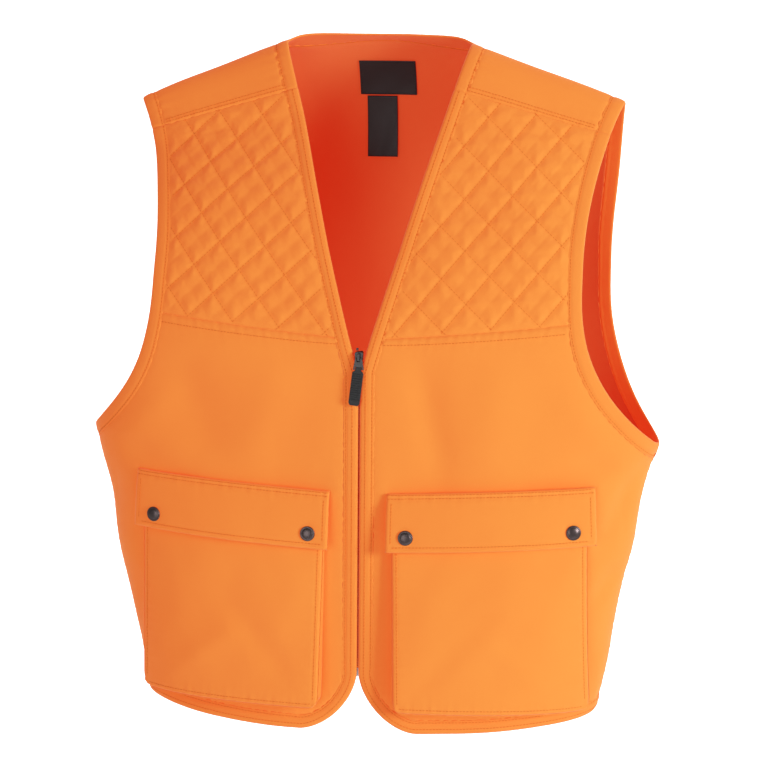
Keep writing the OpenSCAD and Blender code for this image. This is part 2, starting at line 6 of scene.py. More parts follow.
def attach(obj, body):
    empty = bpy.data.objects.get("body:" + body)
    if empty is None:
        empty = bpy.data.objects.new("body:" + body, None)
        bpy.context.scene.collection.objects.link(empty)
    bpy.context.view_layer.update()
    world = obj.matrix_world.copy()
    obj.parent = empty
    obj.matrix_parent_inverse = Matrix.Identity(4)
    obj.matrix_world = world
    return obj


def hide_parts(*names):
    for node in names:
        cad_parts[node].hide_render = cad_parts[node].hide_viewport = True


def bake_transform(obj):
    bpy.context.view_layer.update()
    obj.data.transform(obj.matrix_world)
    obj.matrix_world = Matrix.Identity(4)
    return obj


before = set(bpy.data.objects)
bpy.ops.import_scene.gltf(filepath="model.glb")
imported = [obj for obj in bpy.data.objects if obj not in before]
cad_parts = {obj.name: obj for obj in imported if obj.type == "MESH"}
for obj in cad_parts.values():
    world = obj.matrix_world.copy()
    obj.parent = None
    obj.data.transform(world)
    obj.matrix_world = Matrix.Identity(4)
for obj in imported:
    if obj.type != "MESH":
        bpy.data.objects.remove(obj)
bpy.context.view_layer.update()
MM = 0.001
R90 = math.radians(90)
SIDES = (("left", 1), ("right", -1))

# ------------------------------------------------------------------ driving dimensions, mm, as in the CAD
PIT_W, HEM_W = 293.0, 240.0                     # half widths at the armpits and the hem
FRONT_D, BACK_D, SIDE_Y = 75.0, 105.0, -40.0    # depths from the side seams, and where those are
PIT_Z, HEM_Z, LOW_Z = -394.0, -660.0, -690.0    # armpits, where the sides end, lowest point of the hem
TOP_Z, STEP = -200.0, 3.5                       # q = 0 is at TOP_Z; below it one q is STEP high
FALL, RIDGE_C = 0.384, 40.0                     # slope of the shoulder ridge, roundness at its middle
N_EXP, SIDE_S = 2.2, 0.999                      # roundness of the torso, s of the side seams
NECK_W, NECK_TOP_Z, V_Z = 95.0, 9.0, -320.0     # half width of the neck, top of its binding, foot of the V
GAP, BIND = 2.0, 12.0                           # half gap at the zip, width of the bindings
YOKE_Q, CHEST_Z, CHEST_RISE = 49.0, -286.0, 17.0
TIP_W, ARM_F, ARM_B = 248.0, 215.0, 238.0       # half widths at the shoulder tip and across front and back
CORNER_X, CORNER_Z, CORNER_N = 60.0, -628.0, 1.7
POCKET_X, MOUTH_Z, POCKET_LOW = (34.0, 226.0), -458.0, -664.0
MOUTH_OFF, LOW_OFF, SLANT = 6.5, 18.0, 4.0      # how far the pocket stands off at its mouth and foot
FLAP_X, FLAP_Z, FLAP_LOW, TILT = (29.0, 233.0), -436.0, -494.0, 9.5
SNAP_X, SNAP_Z = (49.0, 211.0), -479.0
ZIP_Y = SIDE_Y - FRONT_D
RIDGE_TOP = FALL * (math.hypot(NECK_W, RIDGE_C) - RIDGE_C)
PIT_Q = (PIT_Z - TOP_Z) / STEP
PIT_IN_Q = PIT_Q - 5.2
CHEST_IN_Q, CHEST_OUT_Q = (CHEST_Z - TOP_Z) / STEP, (CHEST_Z + CHEST_RISE - TOP_Z) / STEP


# ------------------------------------------------------------------ the torso surface
def spow(v, p):
    return np.sign(v) * np.abs(v) ** p


def half_w(z):
    """Half width of the torso at height z."""
    return HEM_W + (PIT_W - HEM_W) * np.minimum(1, (z - HEM_Z) / (PIT_Z - HEM_Z))


def ridge_z(x):
    return RIDGE_TOP - FALL * (np.hypot(x, RIDGE_C) - RIDGE_C)


def smooth(t):
    return t * t * (3 - 2 * t)


def lean(f):
    """The side seam's y, which comes back to the ridge over the shoulder."""
    return SIDE_Y * (1 - smooth(np.clip((f + 28) / 88, 0, 1)))


def chest(f):
    """Share of the front depth that is left, going up to the shoulder."""
    t = np.clip((f + 28) / 67, 0, 1)
    return 1 - 0.53 * t * t / (t + 0.06)


def surf(s, q):
    """Point of the torso surface; s runs across, q up the front and down the back."""
    s, q = np.asarray(s, float), np.asarray(q, float)
    f = np.where(q <= 90, q, 180 - q)
    low = np.minimum(0, f) * STEP
    x = half_w(TOP_Z + low) * spow(np.sin(R90 * s), 2 / N_EXP)
    z = np.where(f < 0, TOP_Z + low, TOP_Z + (ridge_z(x) - TOP_Z) * np.sin(np.radians(np.maximum(f, 0))))
    d = spow(np.cos(R90 * s), 2 / N_EXP) * np.where(f < 0, 1, np.cos(np.radians(np.maximum(f, 0))))
    return np.stack([x, lean(f) + np.where(q <= 90, -FRONT_D * chest(f), BACK_D) * d, z], -1)


def normal(s, q):
    a = np.where((q > 89.6) & (q <= 90.4), 89.6, q)
    n = np.cross(surf(s + 0.002, a) - surf(s - 0.002, a), surf(s, a + 0.2) - surf(s, a - 0.2))
    return n / np.linalg.norm(n, axis=-1, keepdims=True)


def s_of(x, z):
    """s of the point at x, z."""
    x, z = np.asarray(x, float), np.asarray(z, float)
    r = np.minimum(1, np.abs(x) / half_w(z)) ** (N_EXP / 2)
    return np.sign(x) * np.minimum(SIDE_S, np.arcsin(r) / R90)


def q_of(x, z):
    """q of the point at x, z, on the front."""
    x, z = np.asarray(x, float), np.asarray(z, float)
    up = np.degrees(np.arcsin(np.clip((z - TOP_Z) / (ridge_z(x) - TOP_Z), -1, 1)))
    return np.where(z < TOP_Z, (z - TOP_Z) / STEP, up)


def front(x, z):
    return np.stack([s_of(x, z), q_of(x, z)], -1)


def back(x, z):
    return np.stack([s_of(x, z), 180 - q_of(x, z)], -1)


def v_height(q):
    return TOP_Z + np.where(q < 0, q * STEP, -TOP_Z * np.sin(np.radians(np.maximum(q, 0))))


def v_half(z):
    """Half width of the V neck, or of the zip's gap below it."""
    return GAP + (NECK_W - GAP) * np.maximum(0, 1 - z / V_Z)


def v_point(q, w):
    """[s, q] at w mm from the V edge."""
    q = np.asarray(q, float)
    z = v_height(q)
    return np.stack([np.arcsin(((v_half(z) + w) / half_w(z)) ** (N_EXP / 2)) / R90, q], -1)


def arm_half(q, base):
    """Half width out to the armhole's edge."""
    up = base + (TIP_W - base) * smooth(np.maximum(0, q + 5) / 95)
    return np.where(q > -10, up, base + (PIT_W - base) * (np.maximum(0, -q - 10) / 45.4) ** 2.4)


def arm_in(q, base):
    """Half width out to the inner side of the armhole binding."""
    shift = np.minimum(2.6, np.maximum(0, (YOKE_Q - q) / 20))
    t = np.clip(-q / 50, 0, 1)
    return arm_half(q + shift, base) - ((BIND + 1) * (1 - t) + 9 * t)


def arm_s(x, q):
    z = TOP_Z + np.minimum(0, q) * STEP
    return np.minimum(SIDE_S, np.arcsin(np.minimum(1, x / half_w(z)) ** (N_EXP / 2)) / R90)


def arm_point(q, inner):
    """q unfolded: over 90 it is on the back."""
    f = np.where(q <= 90, q, 180 - q)
    base = np.where(q <= 90, ARM_F, ARM_B)
    return np.stack([arm_s(arm_in(f, base) if inner else arm_half(f, base), f), q], -1)


def hem_line(x):
    return LOW_Z + 16 * (np.maximum(0, x - CORNER_X) / 180) ** 2


def corner(t, w):
    """Rounded corner from zip to hem, w mm in from the edge."""
    a = np.radians(90 * t)
    return (CORNER_X - (CORNER_X - GAP - w) * np.cos(a) ** (2 / CORNER_N),
            CORNER_Z - (CORNER_Z - LOW_Z - w) * np.sin(a) ** (2 / CORNER_N))


def back_hem(x):
    return LOW_Z + 10 + 6 * (x / HEM_W) ** 2


def neck_point(a, w, d):
    """[s, q] behind the neck, on an arc w wide and d deep."""
    x = -w * np.cos(a)
    s = np.sign(x) * np.arcsin((np.abs(x) / PIT_W) ** (N_EXP / 2)) / R90
    r = d * np.sin(a) / (BACK_D * np.cos(R90 * s) ** (2 / N_EXP))
    return np.stack([s, 180 - np.degrees(np.arccos(np.clip(r, -1, 1)))], -1)


def resample(line, n):
    """A polyline of [s, q] at n points evenly spaced along the cloth."""
    p = surf(line[:, 0], line[:, 1])
    t = np.concatenate([[0], np.cumsum(np.linalg.norm(np.diff(p, axis=0), axis=1))])
    u = np.linspace(0, t[-1], n)
    return np.stack([np.interp(u, t, line[:, k]) for k in range(line.shape[1])], -1)


def run(a, b, n):
    """Straight line from a to b in n points."""
    return np.array(a) + (np.array(b) - np.array(a)) * np.linspace(0, 1, n)[:, None]


def span(t, b, i, e, by_height=False):
    """Grid of [s, q] between top, bottom, inner and outer edges, its rows weighed by number or by height."""
    v = np.linspace(0, 1, len(i))[:, None, None]
    if by_height:
        v = ((e[:, 1] - e[0, 1]) / (e[-1, 1] - e[0, 1]))[:, None, None]
    u = np.linspace(0, 1, len(t))[None, :, None]
    return ((1 - v) * t[None] + v * b[None] + (1 - u) * i[:, None] + u * e[:, None]
            - (1 - u) * (1 - v) * t[0] - u * (1 - v) * t[-1] - (1 - u) * v * b[0] - u * v * b[-1])


# ------------------------------------------------------------------ mesh helpers (mm in, metres out)
def mesh(name, verts, faces, uv=None, mats=()):
    me = bpy.data.meshes.new(name)
    me.from_pydata((np.asarray(verts, float) * MM).tolist(), [], [list(map(int, f)) for f in faces])
    if uv is not None:
        layer = me.uv_layers.new(name="UVMap")
        idx = np.zeros(len(me.loops), np.int32)
        me.loops.foreach_get("vertex_index", idx)
        layer.data.foreach_set("uv", np.asarray(uv, np.float32)[idx].ravel())
    me.update()
    me.polygons.foreach_set("use_smooth", [True] * len(me.polygons))
    o = bpy.data.objects.new(name, me)
    bpy.context.scene.collection.objects.link(o)
    for m in mats:
        me.materials.append(m)
    return o


def mirror_x(a, side):
    a = np.array(a, float)
    a[..., 0] *= side
    return a


def cumulative(p, axis):
    """Distance run along one axis of a grid of points."""
    d = np.linalg.norm(np.diff(p, axis=axis), axis=-1)
    pad = [(0, 0), (0, 0)]
    pad[axis] = (1, 0)
    return np.cumsum(np.pad(d, pad), axis=axis)


def grid_faces(r, c, start=0, flip=False):
    i, j = np.meshgrid(np.arange(r - 1), np.arange(c - 1), indexing="ij")
    a = start + i * c + j
    f = np.stack([a, a + 1, a + c + 1, a + c], -1).reshape(-1, 4)
    return f[:, ::-1] if flip else f


def closed_shell(name, top, low, mats, round_rim=0.5, uv_shift=(0, 0)):
    """A closed cloth piece between two grids, its rim rounded outward; mats are its face and its back."""
    r, c = top.shape[:2]
    n = r * c
    dj, di = top[r // 2, c // 2] - top[r // 2, c // 2 - 1], top[r // 2, c // 2] - top[r // 2 - 1, c // 2]
    outward = np.dot(np.cross(dj, di), top[r // 2, c // 2] - low[r // 2, c // 2]) > 0
    ring = ([(0, j) for j in range(c)] + [(i, c - 1) for i in range(1, r)]
            + [(r - 1, j) for j in range(c - 2, -1, -1)] + [(i, 0) for i in range(r - 2, 0, -1)])
    ri, rj = np.array(ring).T
    mid = (top[ri, rj] + low[ri, rj]) / 2
    inner = top[np.clip(ri, 1, r - 2), np.clip(rj, 1, c - 2)]
    away = top[ri, rj] - inner
    away /= np.linalg.norm(away, axis=-1, keepdims=True) + 1e-9
    mid = mid + away * round_rim
    ring_idx = ri * c + rj
    k = np.arange(len(ring))
    nxt = (k + 1) % len(ring)
    m0 = 2 * n
    rim_a = np.stack([ring_idx[nxt], ring_idx[k], m0 + k, m0 + nxt], -1)
    rim_b = np.stack([m0 + nxt, m0 + k, n + ring_idx[k], n + ring_idx[nxt]], -1)
    faces = np.concatenate([grid_faces(r, c), grid_faces(r, c, n, True), rim_a, rim_b])
    if not outward:
        faces = faces[:, ::-1]
    u, v = cumulative(top, 1) + uv_shift[0], cumulative(top, 0) + uv_shift[1]
    uv = np.stack([u, v], -1).reshape(-1, 2)
    uv = np.concatenate([uv, uv, uv[ring_idx]])
    o = mesh(name, np.concatenate([top.reshape(-1, 3), low.reshape(-1, 3), mid]), faces, uv, mats)
    if len(mats) > 1:
        quads = (r - 1) * (c - 1)
        index = np.zeros(len(faces), np.int32)
        index[quads:2 * quads] = 1
        o.data.polygons.foreach_set("material_index", index)
    return o


def waves(p, seed, lengths, heights):
    """Smooth seeded unevenness over points p, mm."""
    g = np.random.default_rng(seed)
    out = np.zeros(p.shape[:-1])
    for length, height in zip(lengths, heights):
        for _ in range(3):
            d = g.normal(size=3)
            d /= np.linalg.norm(d)
            out += height / 3 * np.sin(p @ d * (2 * math.pi / length) + g.uniform(0, 6.28))
    return out


def fold_line(p, a, b, width, height):
    """A soft fold from a to b in the x, z plane: a ridge that dies away at both ends."""
    a, b = np.array(a, float), np.array(b, float)
    d = b - a
    x = p[..., [0, 2]] - a
    t = (x @ d) / (d @ d)
    off = (x[..., 0] * d[1] - x[..., 1] * d[0]) / np.linalg.norm(d)
    along = np.exp(-((t - 0.5) / 0.42) ** 4)
    return height * along * np.exp(-(off / width) ** 2)


# folds of the hanging cloth, mm: from (x, z), to (x, z), half width, height
FOLDS = (
    ((262, -400), (150, -455), 16, -2.6),
    ((275, -420), (190, -330), 18, 2.0),
    ((-262, -400), (-160, -450), 16, -2.4),
    ((-275, -425), (-185, -335), 18, 2.0),
    ((290, -400), (236, -505), 11, -3.0),
    ((262, -515), (232, -560), 9, -2.4),
    ((244, -590), (234, -670), 9, 2.2),
    ((-236, -540), (-244, -650), 10, -2.2),
    ((58, -300), (84, -430), 17, -3.2),
    ((150, -300), (120, -425), 26, 2.4),
    ((-70, -300), (-120, -425), 24, 2.4),
    ((-190, -310), (-150, -420), 24, -2.2),
)


def drape(p):
    """How far the cloth hangs off the plain torso surface, mm; quiet at the zip and under the pockets."""
    x, z = p[..., 0], p[..., 2]
    wide = np.abs(x)
    h = waves(p, 3, (260, 150, 90), (3.0, 2.4, 1.1)) * np.clip((wide - 25) / 60, 0, 1)
    h = h - 4.5 * np.exp(-((z + 462) / 36) ** 2) * np.clip((wide - 225) / 40, 0, 1) ** 2
    share = np.where(p[..., 1] < 0, 1.0, 0.6)
    for fold in FOLDS:
        h = h + share * fold_line(p, *fold)
    under = (np.clip((wide - 15) / 20, 0, 1) * np.clip((250 - wide) / 15, 0, 1)
             * np.clip((-424 - z) / 10, 0, 1) * np.clip((z + 685) / 12, 0, 1))
    return h + under * (np.minimum(h, 0.7) - h)


def lay(sq, off, side=1, with_drape=True):
    """Points of the cloth at [s, q], off mm outward, for one side of the body."""
    p = surf(sq[..., 0], sq[..., 1])
    n = normal(sq[..., 0], sq[..., 1])
    p, n = mirror_x(p, side), mirror_x(n, side)
    if with_drape:
        off = off + drape(p)
    return p + n * np.asarray(off)[..., None], n


class Thread:
    """Collects stitches: short rounded thread lengths along lines on the cloth."""

    def __init__(self):
        self.v, self.f, self.n = [], [], 0

    def line(self, pts, nrm, pitch=3.4, length=2.6, r=0.32, lift=0.12):
        pts = np.asarray(pts, float)
        t = np.concatenate([[0], np.cumsum(np.linalg.norm(np.diff(pts, axis=0), axis=1))])
        if t[-1] < pitch:
            return
        s = np.arange(0.5 * pitch, t[-1] - 0.4 * pitch, pitch)
        at = lambda u, a: np.stack([np.interp(u, t, a[:, k]) for k in range(3)], -1)
        c, nn = at(s, pts), at(s, np.asarray(nrm, float))
        d = at(np.minimum(s + 0.8, t[-1]), pts) - at(np.maximum(s - 0.8, 0), pts)
        d /= np.linalg.norm(d, axis=1, keepdims=True) + 1e-9
        nn /= np.linalg.norm(nn, axis=1, keepdims=True) + 1e-9
        b = np.cross(d, nn)
        rings = [(-0.5, 0.35, -0.5), (-0.3, 1, 0.25), (0.3, 1, 0.25), (0.5, 0.35, -0.5)]
        ang = np.linspace(0, 2 * math.pi, 7)[:-1]
        verts = []
        for along, size, up in rings:
            for a in ang:
                verts.append(c + d * (along * length) + (nn * (math.sin(a) * r * size)
                             + b * (math.cos(a) * r * size)) + nn * (lift + up * r))
        verts = np.stack(verts, 1)
        base = self.n + np.arange(len(c))[:, None] * 24
        faces = []
        for k in range(3):
            for m in range(6):
                near, far = k * 6, (k + 1) * 6
                corners = (near + m, near + (m + 1) % 6, far + (m + 1) % 6, far + m)
                faces.append(np.stack([base[:, 0] + corner_no for corner_no in corners], -1))
        self.v.append(verts.reshape(-1, 3))
        self.f.append(np.concatenate(faces))
        self.n += 24 * len(c)

    def build(self, name, mat):
        return mesh(name, np.concatenate(self.v), np.concatenate(self.f), None, [mat])


def on_grid(g, rows, cols):
    """Bilinear points of grid g at fractional rows and columns."""
    rows, cols = np.broadcast_arrays(np.asarray(rows, float), np.asarray(cols, float))
    r = np.clip(rows, 0, g.shape[0] - 1.001)
    c = np.clip(cols, 0, g.shape[1] - 1.001)
    i, j = r.astype(int), c.astype(int)
    a, b = (r - i)[:, None], (c - j)[:, None]
    return ((1 - a) * (1 - b) * g[i, j] + a * (1 - b) * g[i + 1, j]
            + (1 - a) * b * g[i, j + 1] + a * b * g[i + 1, j + 1])


# ------------------------------------------------------------------ materials
def new_mat(name):
    m = bpy.data.materials.new(name)
    m.use_nodes = True
    nt = m.node_tree
    return m, nt, nt.nodes, nt.nodes["Principled BSDF"]


def math_node(nt, op, a, b=None):
    n = nt.nodes.new("ShaderNodeMath")
    n.operation = op
    for k, v in enumerate((a, b)):
        if v is None:
            continue
        if isinstance(v, (int, float)):
            n.inputs[k].default_value = v
        else:
            nt.links.new(v, n.inputs[k])
    return n.outputs[0]


def mix_color(nt, fac, a, b):
    n = nt.nodes.new("ShaderNodeMix")
    n.data_type = "RGBA"
    for key, v in ((0, fac), (6, a), (7, b)):
        if isinstance(v, (int, float)):
            n.inputs[key].default_value = v
        elif isinstance(v, tuple):
            n.inputs[key].default_value = (*v, 1)
        else:
            nt.links.new(v, n.inputs[key])
    return n.outputs[2]


def noise(nt, vec, scale, detail=2, rough=0.5):
    n = nt.nodes.new("ShaderNodeTexNoise")
    n.inputs["Scale"].default_value = scale
    n.inputs["Detail"].default_value = detail
    n.inputs["Roughness"].default_value = rough
    nt.links.new(vec, n.inputs["Vector"])
    return n.outputs["Fac"]


def bump(nt, height, distance, strength, under=None):
    n = nt.nodes.new("ShaderNodeBump")
    n.inputs["Distance"].default_value = distance
    n.inputs["Strength"].default_value = strength
    nt.links.new(height, n.inputs["Height"])
    if under is not None:
        nt.links.new(under, n.inputs["Normal"])
    return n.outputs["Normal"]


def woven(name, light, dark, glow, painted_glow_k, thread=0.62, rough=0.82, sheen=0.25, weave_k=0.35, crumple=0.35):
    """Woven cloth at real scale: twill threads from the piece's own coordinates in mm, slubs, soft crumple, and
    a painted glow: a constant emission that keeps the cloth's red bright where it lies in shade.
    """
    m, nt, nodes, b = new_mat(name)
    coords = nodes.new("ShaderNodeTexCoord")
    sep = nodes.new("ShaderNodeSeparateXYZ")
    nt.links.new(coords.outputs["UV"], sep.inputs[0])

    def add(a, c):
        return math_node(nt, "ADD", a, c)

    def times(a, c):
        return math_node(nt, "MULTIPLY", a, c)

    turns = 2 * math.pi / thread
    across = math_node(nt, "SINE", times(sep.outputs[0], turns))
    down = math_node(nt, "SINE", times(sep.outputs[1], turns))
    diagonal = math_node(nt, "SINE", times(add(sep.outputs[0], sep.outputs[1]), turns * 0.5))
    threads = add(times(across, down), times(diagonal, 0.6))
    slub = noise(nt, coords.outputs["Object"], 900, 3, 0.6)
    cloud = noise(nt, coords.outputs["Object"], 9, 3, 0.55)
    soft = noise(nt, coords.outputs["Object"], 34, 3, 0.5)
    tone = add(times(threads, 0.06), add(times(slub, 0.35), times(cloud, 0.55)))
    nt.links.new(mix_color(nt, tone, light, dark), b.inputs["Base Color"])
    fine = bump(nt, add(times(threads, 0.5), slub), 0.00012, weave_k)
    nt.links.new(bump(nt, soft, 0.0016, crumple, fine), b.inputs["Normal"])
    b.inputs["Roughness"].default_value = rough
    b.inputs["Sheen Weight"].default_value = sheen
    b.inputs["Sheen Roughness"].default_value = 0.5
    b.inputs["Sheen Tint"].default_value = (1, 0.75, 0.5, 1)
    b.inputs["Specular IOR Level"].default_value = 0.25
    # painted glow: the cloth emits its own red light, so its red stays bright in shade
    b.inputs["Emission Color"].default_value = (*glow, 1)
    b.inputs["Emission Strength"].default_value = painted_glow_k
    return m


def hard(name, color, rough, metallic, speck, grain, bump_k, spec=0.5):
    """Metal, plastic or thread with fine grain and worn specks."""
    m, nt, nodes, b = new_mat(name)
    coords = nodes.new("ShaderNodeTexCoord")
    fine = noise(nt, coords.outputs["Object"], grain, 4, 0.6)
    wear = noise(nt, coords.outputs["Object"], 160, 3, 0.6)
    nt.links.new(mix_color(nt, math_node(nt, "MULTIPLY", wear, 0.6), color, speck), b.inputs["Base Color"])
    uneven = math_node(nt, "MULTIPLY", wear, 0.2)
    nt.links.new(math_node(nt, "ADD", uneven, rough - 0.1), b.inputs["Roughness"])
    nt.links.new(bump(nt, fine, 0.0001, bump_k), b.inputs["Normal"])
    b.inputs["Metallic"].default_value = metallic
    b.inputs["Specular IOR Level"].default_value = spec
    return m


# painted glow: a constant red emission given to the cloth, binding, lining and zip tape; it stands in for the
# red that the fluorescent dye gives back under light, and keeps the red bright in shade
PAINTED_GLOW = (1.0, 0.012, 0.004)
ORANGE = woven("blaze_cloth", (0.37, 0.288, 0.042), (0.33, 0.222, 0.032), PAINTED_GLOW, 0.555)
BINDING = woven("blaze_binding", (0.36, 0.27, 0.039), (0.32, 0.208, 0.03), PAINTED_GLOW, 0.545, crumple=0.25)
# the inner faces: the same cloth as the face, its colour darker and redder as painted shade inside the vest
SHADED_LINING = woven("blaze_lining_painted_shade", (0.30, 0.155, 0.036), (0.26, 0.12, 0.03), PAINTED_GLOW, 0.47)
# zip tape dark red: the shade in the gap between the bindings, painted into the tape's colour
TAPE = woven("zip_tape_weave", (0.34, 0.035, 0.008), (0.28, 0.025, 0.006), PAINTED_GLOW, 0.08, thread=1.2)
THREAD = hard("blaze_thread", (0.80, 0.19, 0.018), 0.7, 0.0, (0.62, 0.11, 0.01), 1500, 0.3, 0.2)
SATIN = woven("label_satin", (0.012, 0.012, 0.014), (0.022, 0.021, 0.022), (0, 0, 0), 0.0,
              thread=0.4, rough=0.42, sheen=0.15, weave_k=0.2, crumple=0.15)
LABEL_THREAD = hard("label_thread", (0.02, 0.02, 0.021), 0.6, 0.0, (0.04, 0.04, 0.04), 1500, 0.2, 0.3)
BRONZE = hard("snap_bronze", (0.11, 0.085, 0.085), 0.36, 0.85, (0.05, 0.032, 0.03), 500, 0.2)
BLACK_METAL = hard("slider_black", (0.035, 0.033, 0.034), 0.38, 0.6, (0.08, 0.075, 0.075), 500, 0.15)
RUBBER = hard("pull_rubber", (0.014, 0.014, 0.015), 0.55, 0.0, (0.03, 0.03, 0.03), 900, 0.25, 0.35)
# coil dark red: the shade in the gap between the bindings, painted into the coil's colour
COIL = hard("coil_nylon", (0.42, 0.045, 0.01), 0.4, 0.0, (0.22, 0.02, 0.005), 600, 0.1, 0.4)
SILVER = hard("stop_metal", (0.62, 0.62, 0.64), 0.3, 1.0, (0.35, 0.35, 0.36), 500, 0.15)


# ------------------------------------------------------------------ helpers for sewn pieces
PANEL_T, BINDING_T = 1.4, 1.9     # thickness of a panel, least thickness of a binding
SEWN_T, SEWN_COL = 0.88, 7.0      # a binding's stitch line: share of its width, and grid column


def bend_front(o):
    """Bakes the piece's transform into its mesh; the piece is attached to no body."""
    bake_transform(o)


def seam_dip(d, depth, width):
    """Cloth pulled down toward a seam d mm away, with small puckers left to the caller."""
    return -depth * np.exp(-(d / width) ** 2)


def puckers(length, d, height, pitch=9.0, reach=9.0, seed=0):
    """Fine ripples square to a seam, fading d mm away from it."""
    ph = seed * 1.7
    turns = length * 2 * math.pi / pitch
    wave = np.sin(turns + ph) + 0.6 * np.sin(turns / 1.63 + 2 * ph)
    return height * wave * np.exp(-d / reach)


def panel(name, sq, side, cad, extra=None, seam_edges="tbio", base=0.0, pucker=0.3):
    """A single-cloth panel over a grid of [s, q]: it dips and puckers along its sewn edges."""
    p = surf(sq[..., 0], sq[..., 1])
    u, v = cumulative(p, 1), cumulative(p, 0)
    d = {"i": u, "o": u[:, -1:] - u, "t": v, "b": v[-1:] - v}
    length = {"i": v, "o": v, "t": u, "b": u}
    off = np.full(u.shape, float(base))
    for k, e in enumerate(seam_edges):
        off = off + seam_dip(d[e], 0.55, 2.6) + puckers(length[e], d[e], pucker, seed=k + len(name))
    if extra is not None:
        off = off + extra(p, u, v)
    top, n = lay(sq, off, side)
    o = closed_shell(name, top, top - n * PANEL_T, [ORANGE, SHADED_LINING])
    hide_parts(cad)
    return o, top, n


def strip(name, outer, inner, side, cad, rise=None, lip=1.2, reverse=None):
    """A folded binding from its outer to its inner edge, puffed between the fold and its stitch line."""
    w = np.linspace(0, 1, 9)[None, :, None]
    sq = outer[:, None] * (1 - w) + inner[:, None] * w
    p = surf(sq[..., 0], sq[..., 1])
    v = cumulative(p, 0)
    width = cumulative(p, 1)
    t = width / width[:, -1:]
    body = np.sin(np.pi * np.clip(t / 0.86, 0, 1)) ** 0.7 * 0.6 - 0.5 * np.exp(-((t - SEWN_T) / 0.07) ** 2)
    ripple = puckers(v, np.abs(t - SEWN_T) * 12, 0.22, 8.0, 5.0, len(name))
    top, n = lay(sq, 0.25 + body + ripple, side)
    low = top - n * (BINDING_T + 1.3 * body.clip(0))[..., None]
    if rise is not None:
        lift = rise[:, None] * (1 - t)
        top[..., 2] += lift
        low[..., 2] += lift
    o = closed_shell(name, top, low, [BINDING, reverse or BINDING], lip)
    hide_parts(cad)
    return o, top, n


def stitched(name, lines, **style):
    """One mesh of stitches along lines, each given as its points and normals."""
    th = Thread()
    for pts, nn in lines:
        th.line(pts, nn, **style)
    o = th.build(name, THREAD)
    return o


def edge_line(g, n, col, lift=0.0):
    """Points and normals along column col of a grid (fractional), for a stitch line."""
    rows = np.linspace(0, g.shape[0] - 1, max(60, g.shape[0] * 3))
    return on_grid(g, rows, col) + on_grid(n, rows, col) * lift, on_grid(n, rows, col)


def row_line(g, n, row, lift=0.0, a=0.0, b=1.0):
    """The same along a row, from share a to share b of it."""
    cols = np.linspace(a * (g.shape[1] - 1), b * (g.shape[1] - 1), max(60, g.shape[1] * 3))
    return on_grid(g, row, cols) + on_grid(n, row, cols) * lift, on_grid(n, row, cols)


# ------------------------------------------------------------------ quilted chest
QUILT_PITCH = 34.5
QUILT_DIRS = ((math.radians(-43), 9.0), (math.radians(-129), 3.0))


def quilt_lines(x, z):
    """Signed distances from the nearest stitch line of each family, in the flat x, z plane."""
    out = []
    for a, shift in QUILT_DIRS:
        c = -x * math.sin(a) + z * math.cos(a) + shift
        out.append((c + QUILT_PITCH / 2) % QUILT_PITCH - QUILT_PITCH / 2)
    return out


def quilt_off(p, u, v):
    """Height of the quilting, distance from its nearest stitch line and from its edge, mm."""
    d1, d2 = quilt_lines(p[..., 0], p[..., 2])
    edge = np.minimum.reduce([u, u[:, -1:] - u, v, v[-1:] - v])
    near = np.minimum(np.abs(d1), np.abs(d2))
    puff = 1 - np.exp(-(near / 5.0) ** 1.2)
    bowl = 1
    for d in (d1, d2):
        bowl = bowl * np.cos(np.clip(d / QUILT_PITCH, -0.5, 0.5) * math.pi)
    rim = np.clip(edge / 9, 0, 1) ** 0.8
    pull = (0.13 * np.sin(d2 * 2 * math.pi / 7.3 + 1) * np.exp(-np.abs(d1) / 4.5)
            + 0.13 * np.sin(d1 * 2 * math.pi / 7.9) * np.exp(-np.abs(d2) / 4.5))
    return (3.1 * puff * (0.35 + 0.65 * bowl) + pull) * rim, near, edge


def quilt(name, side):
    """The padded chest piece, its face as a grid of points, its normals and its flat points."""
    rows, cols = 112, 88
    inside = v_point(np.linspace(YOKE_Q, CHEST_IN_Q, 160), BIND - 0.6)
    outside = arm_point(np.linspace(YOKE_Q, CHEST_OUT_Q, 160), True)
    inside, outside = resample(inside, rows), resample(outside, rows)
    sq = span(run(inside[0], outside[0], cols), run(inside[-1], outside[-1], cols), inside, outside)
    p = surf(sq[..., 0], sq[..., 1])
    u, v = cumulative(p, 1), cumulative(p, 0)
    off, near, edge = quilt_off(p, u, v)
    uneven = waves(p, 11 + side, (60, 38), (0.5, 0.35))
    top, n = lay(sq, -0.2 + off * (1 + 0.18 * uneven), side)
    low, _ = lay(sq, -2.6 - 0.75 * off, side)
    o = closed_shell("quilt_" + name, top, low, [ORANGE, SHADED_LINING], 0.3)
    pinned = np.clip(np.exp(-(near / 1.7) ** 2) + np.clip(1 - edge / 4, 0, 1), 0, 1).ravel()
    rim = np.ones(len(o.data.vertices) - 2 * rows * cols)
    swell(o, np.concatenate([pinned, pinned, rim]))
    verts = np.array([v.co for v in o.data.vertices]) / MM
    face = verts[:rows * cols].reshape(rows, cols, 3)
    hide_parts("quilt_shell_" + name, "quilt_batting_" + name, "quilt_lining_" + name)
    return o, face, n, p


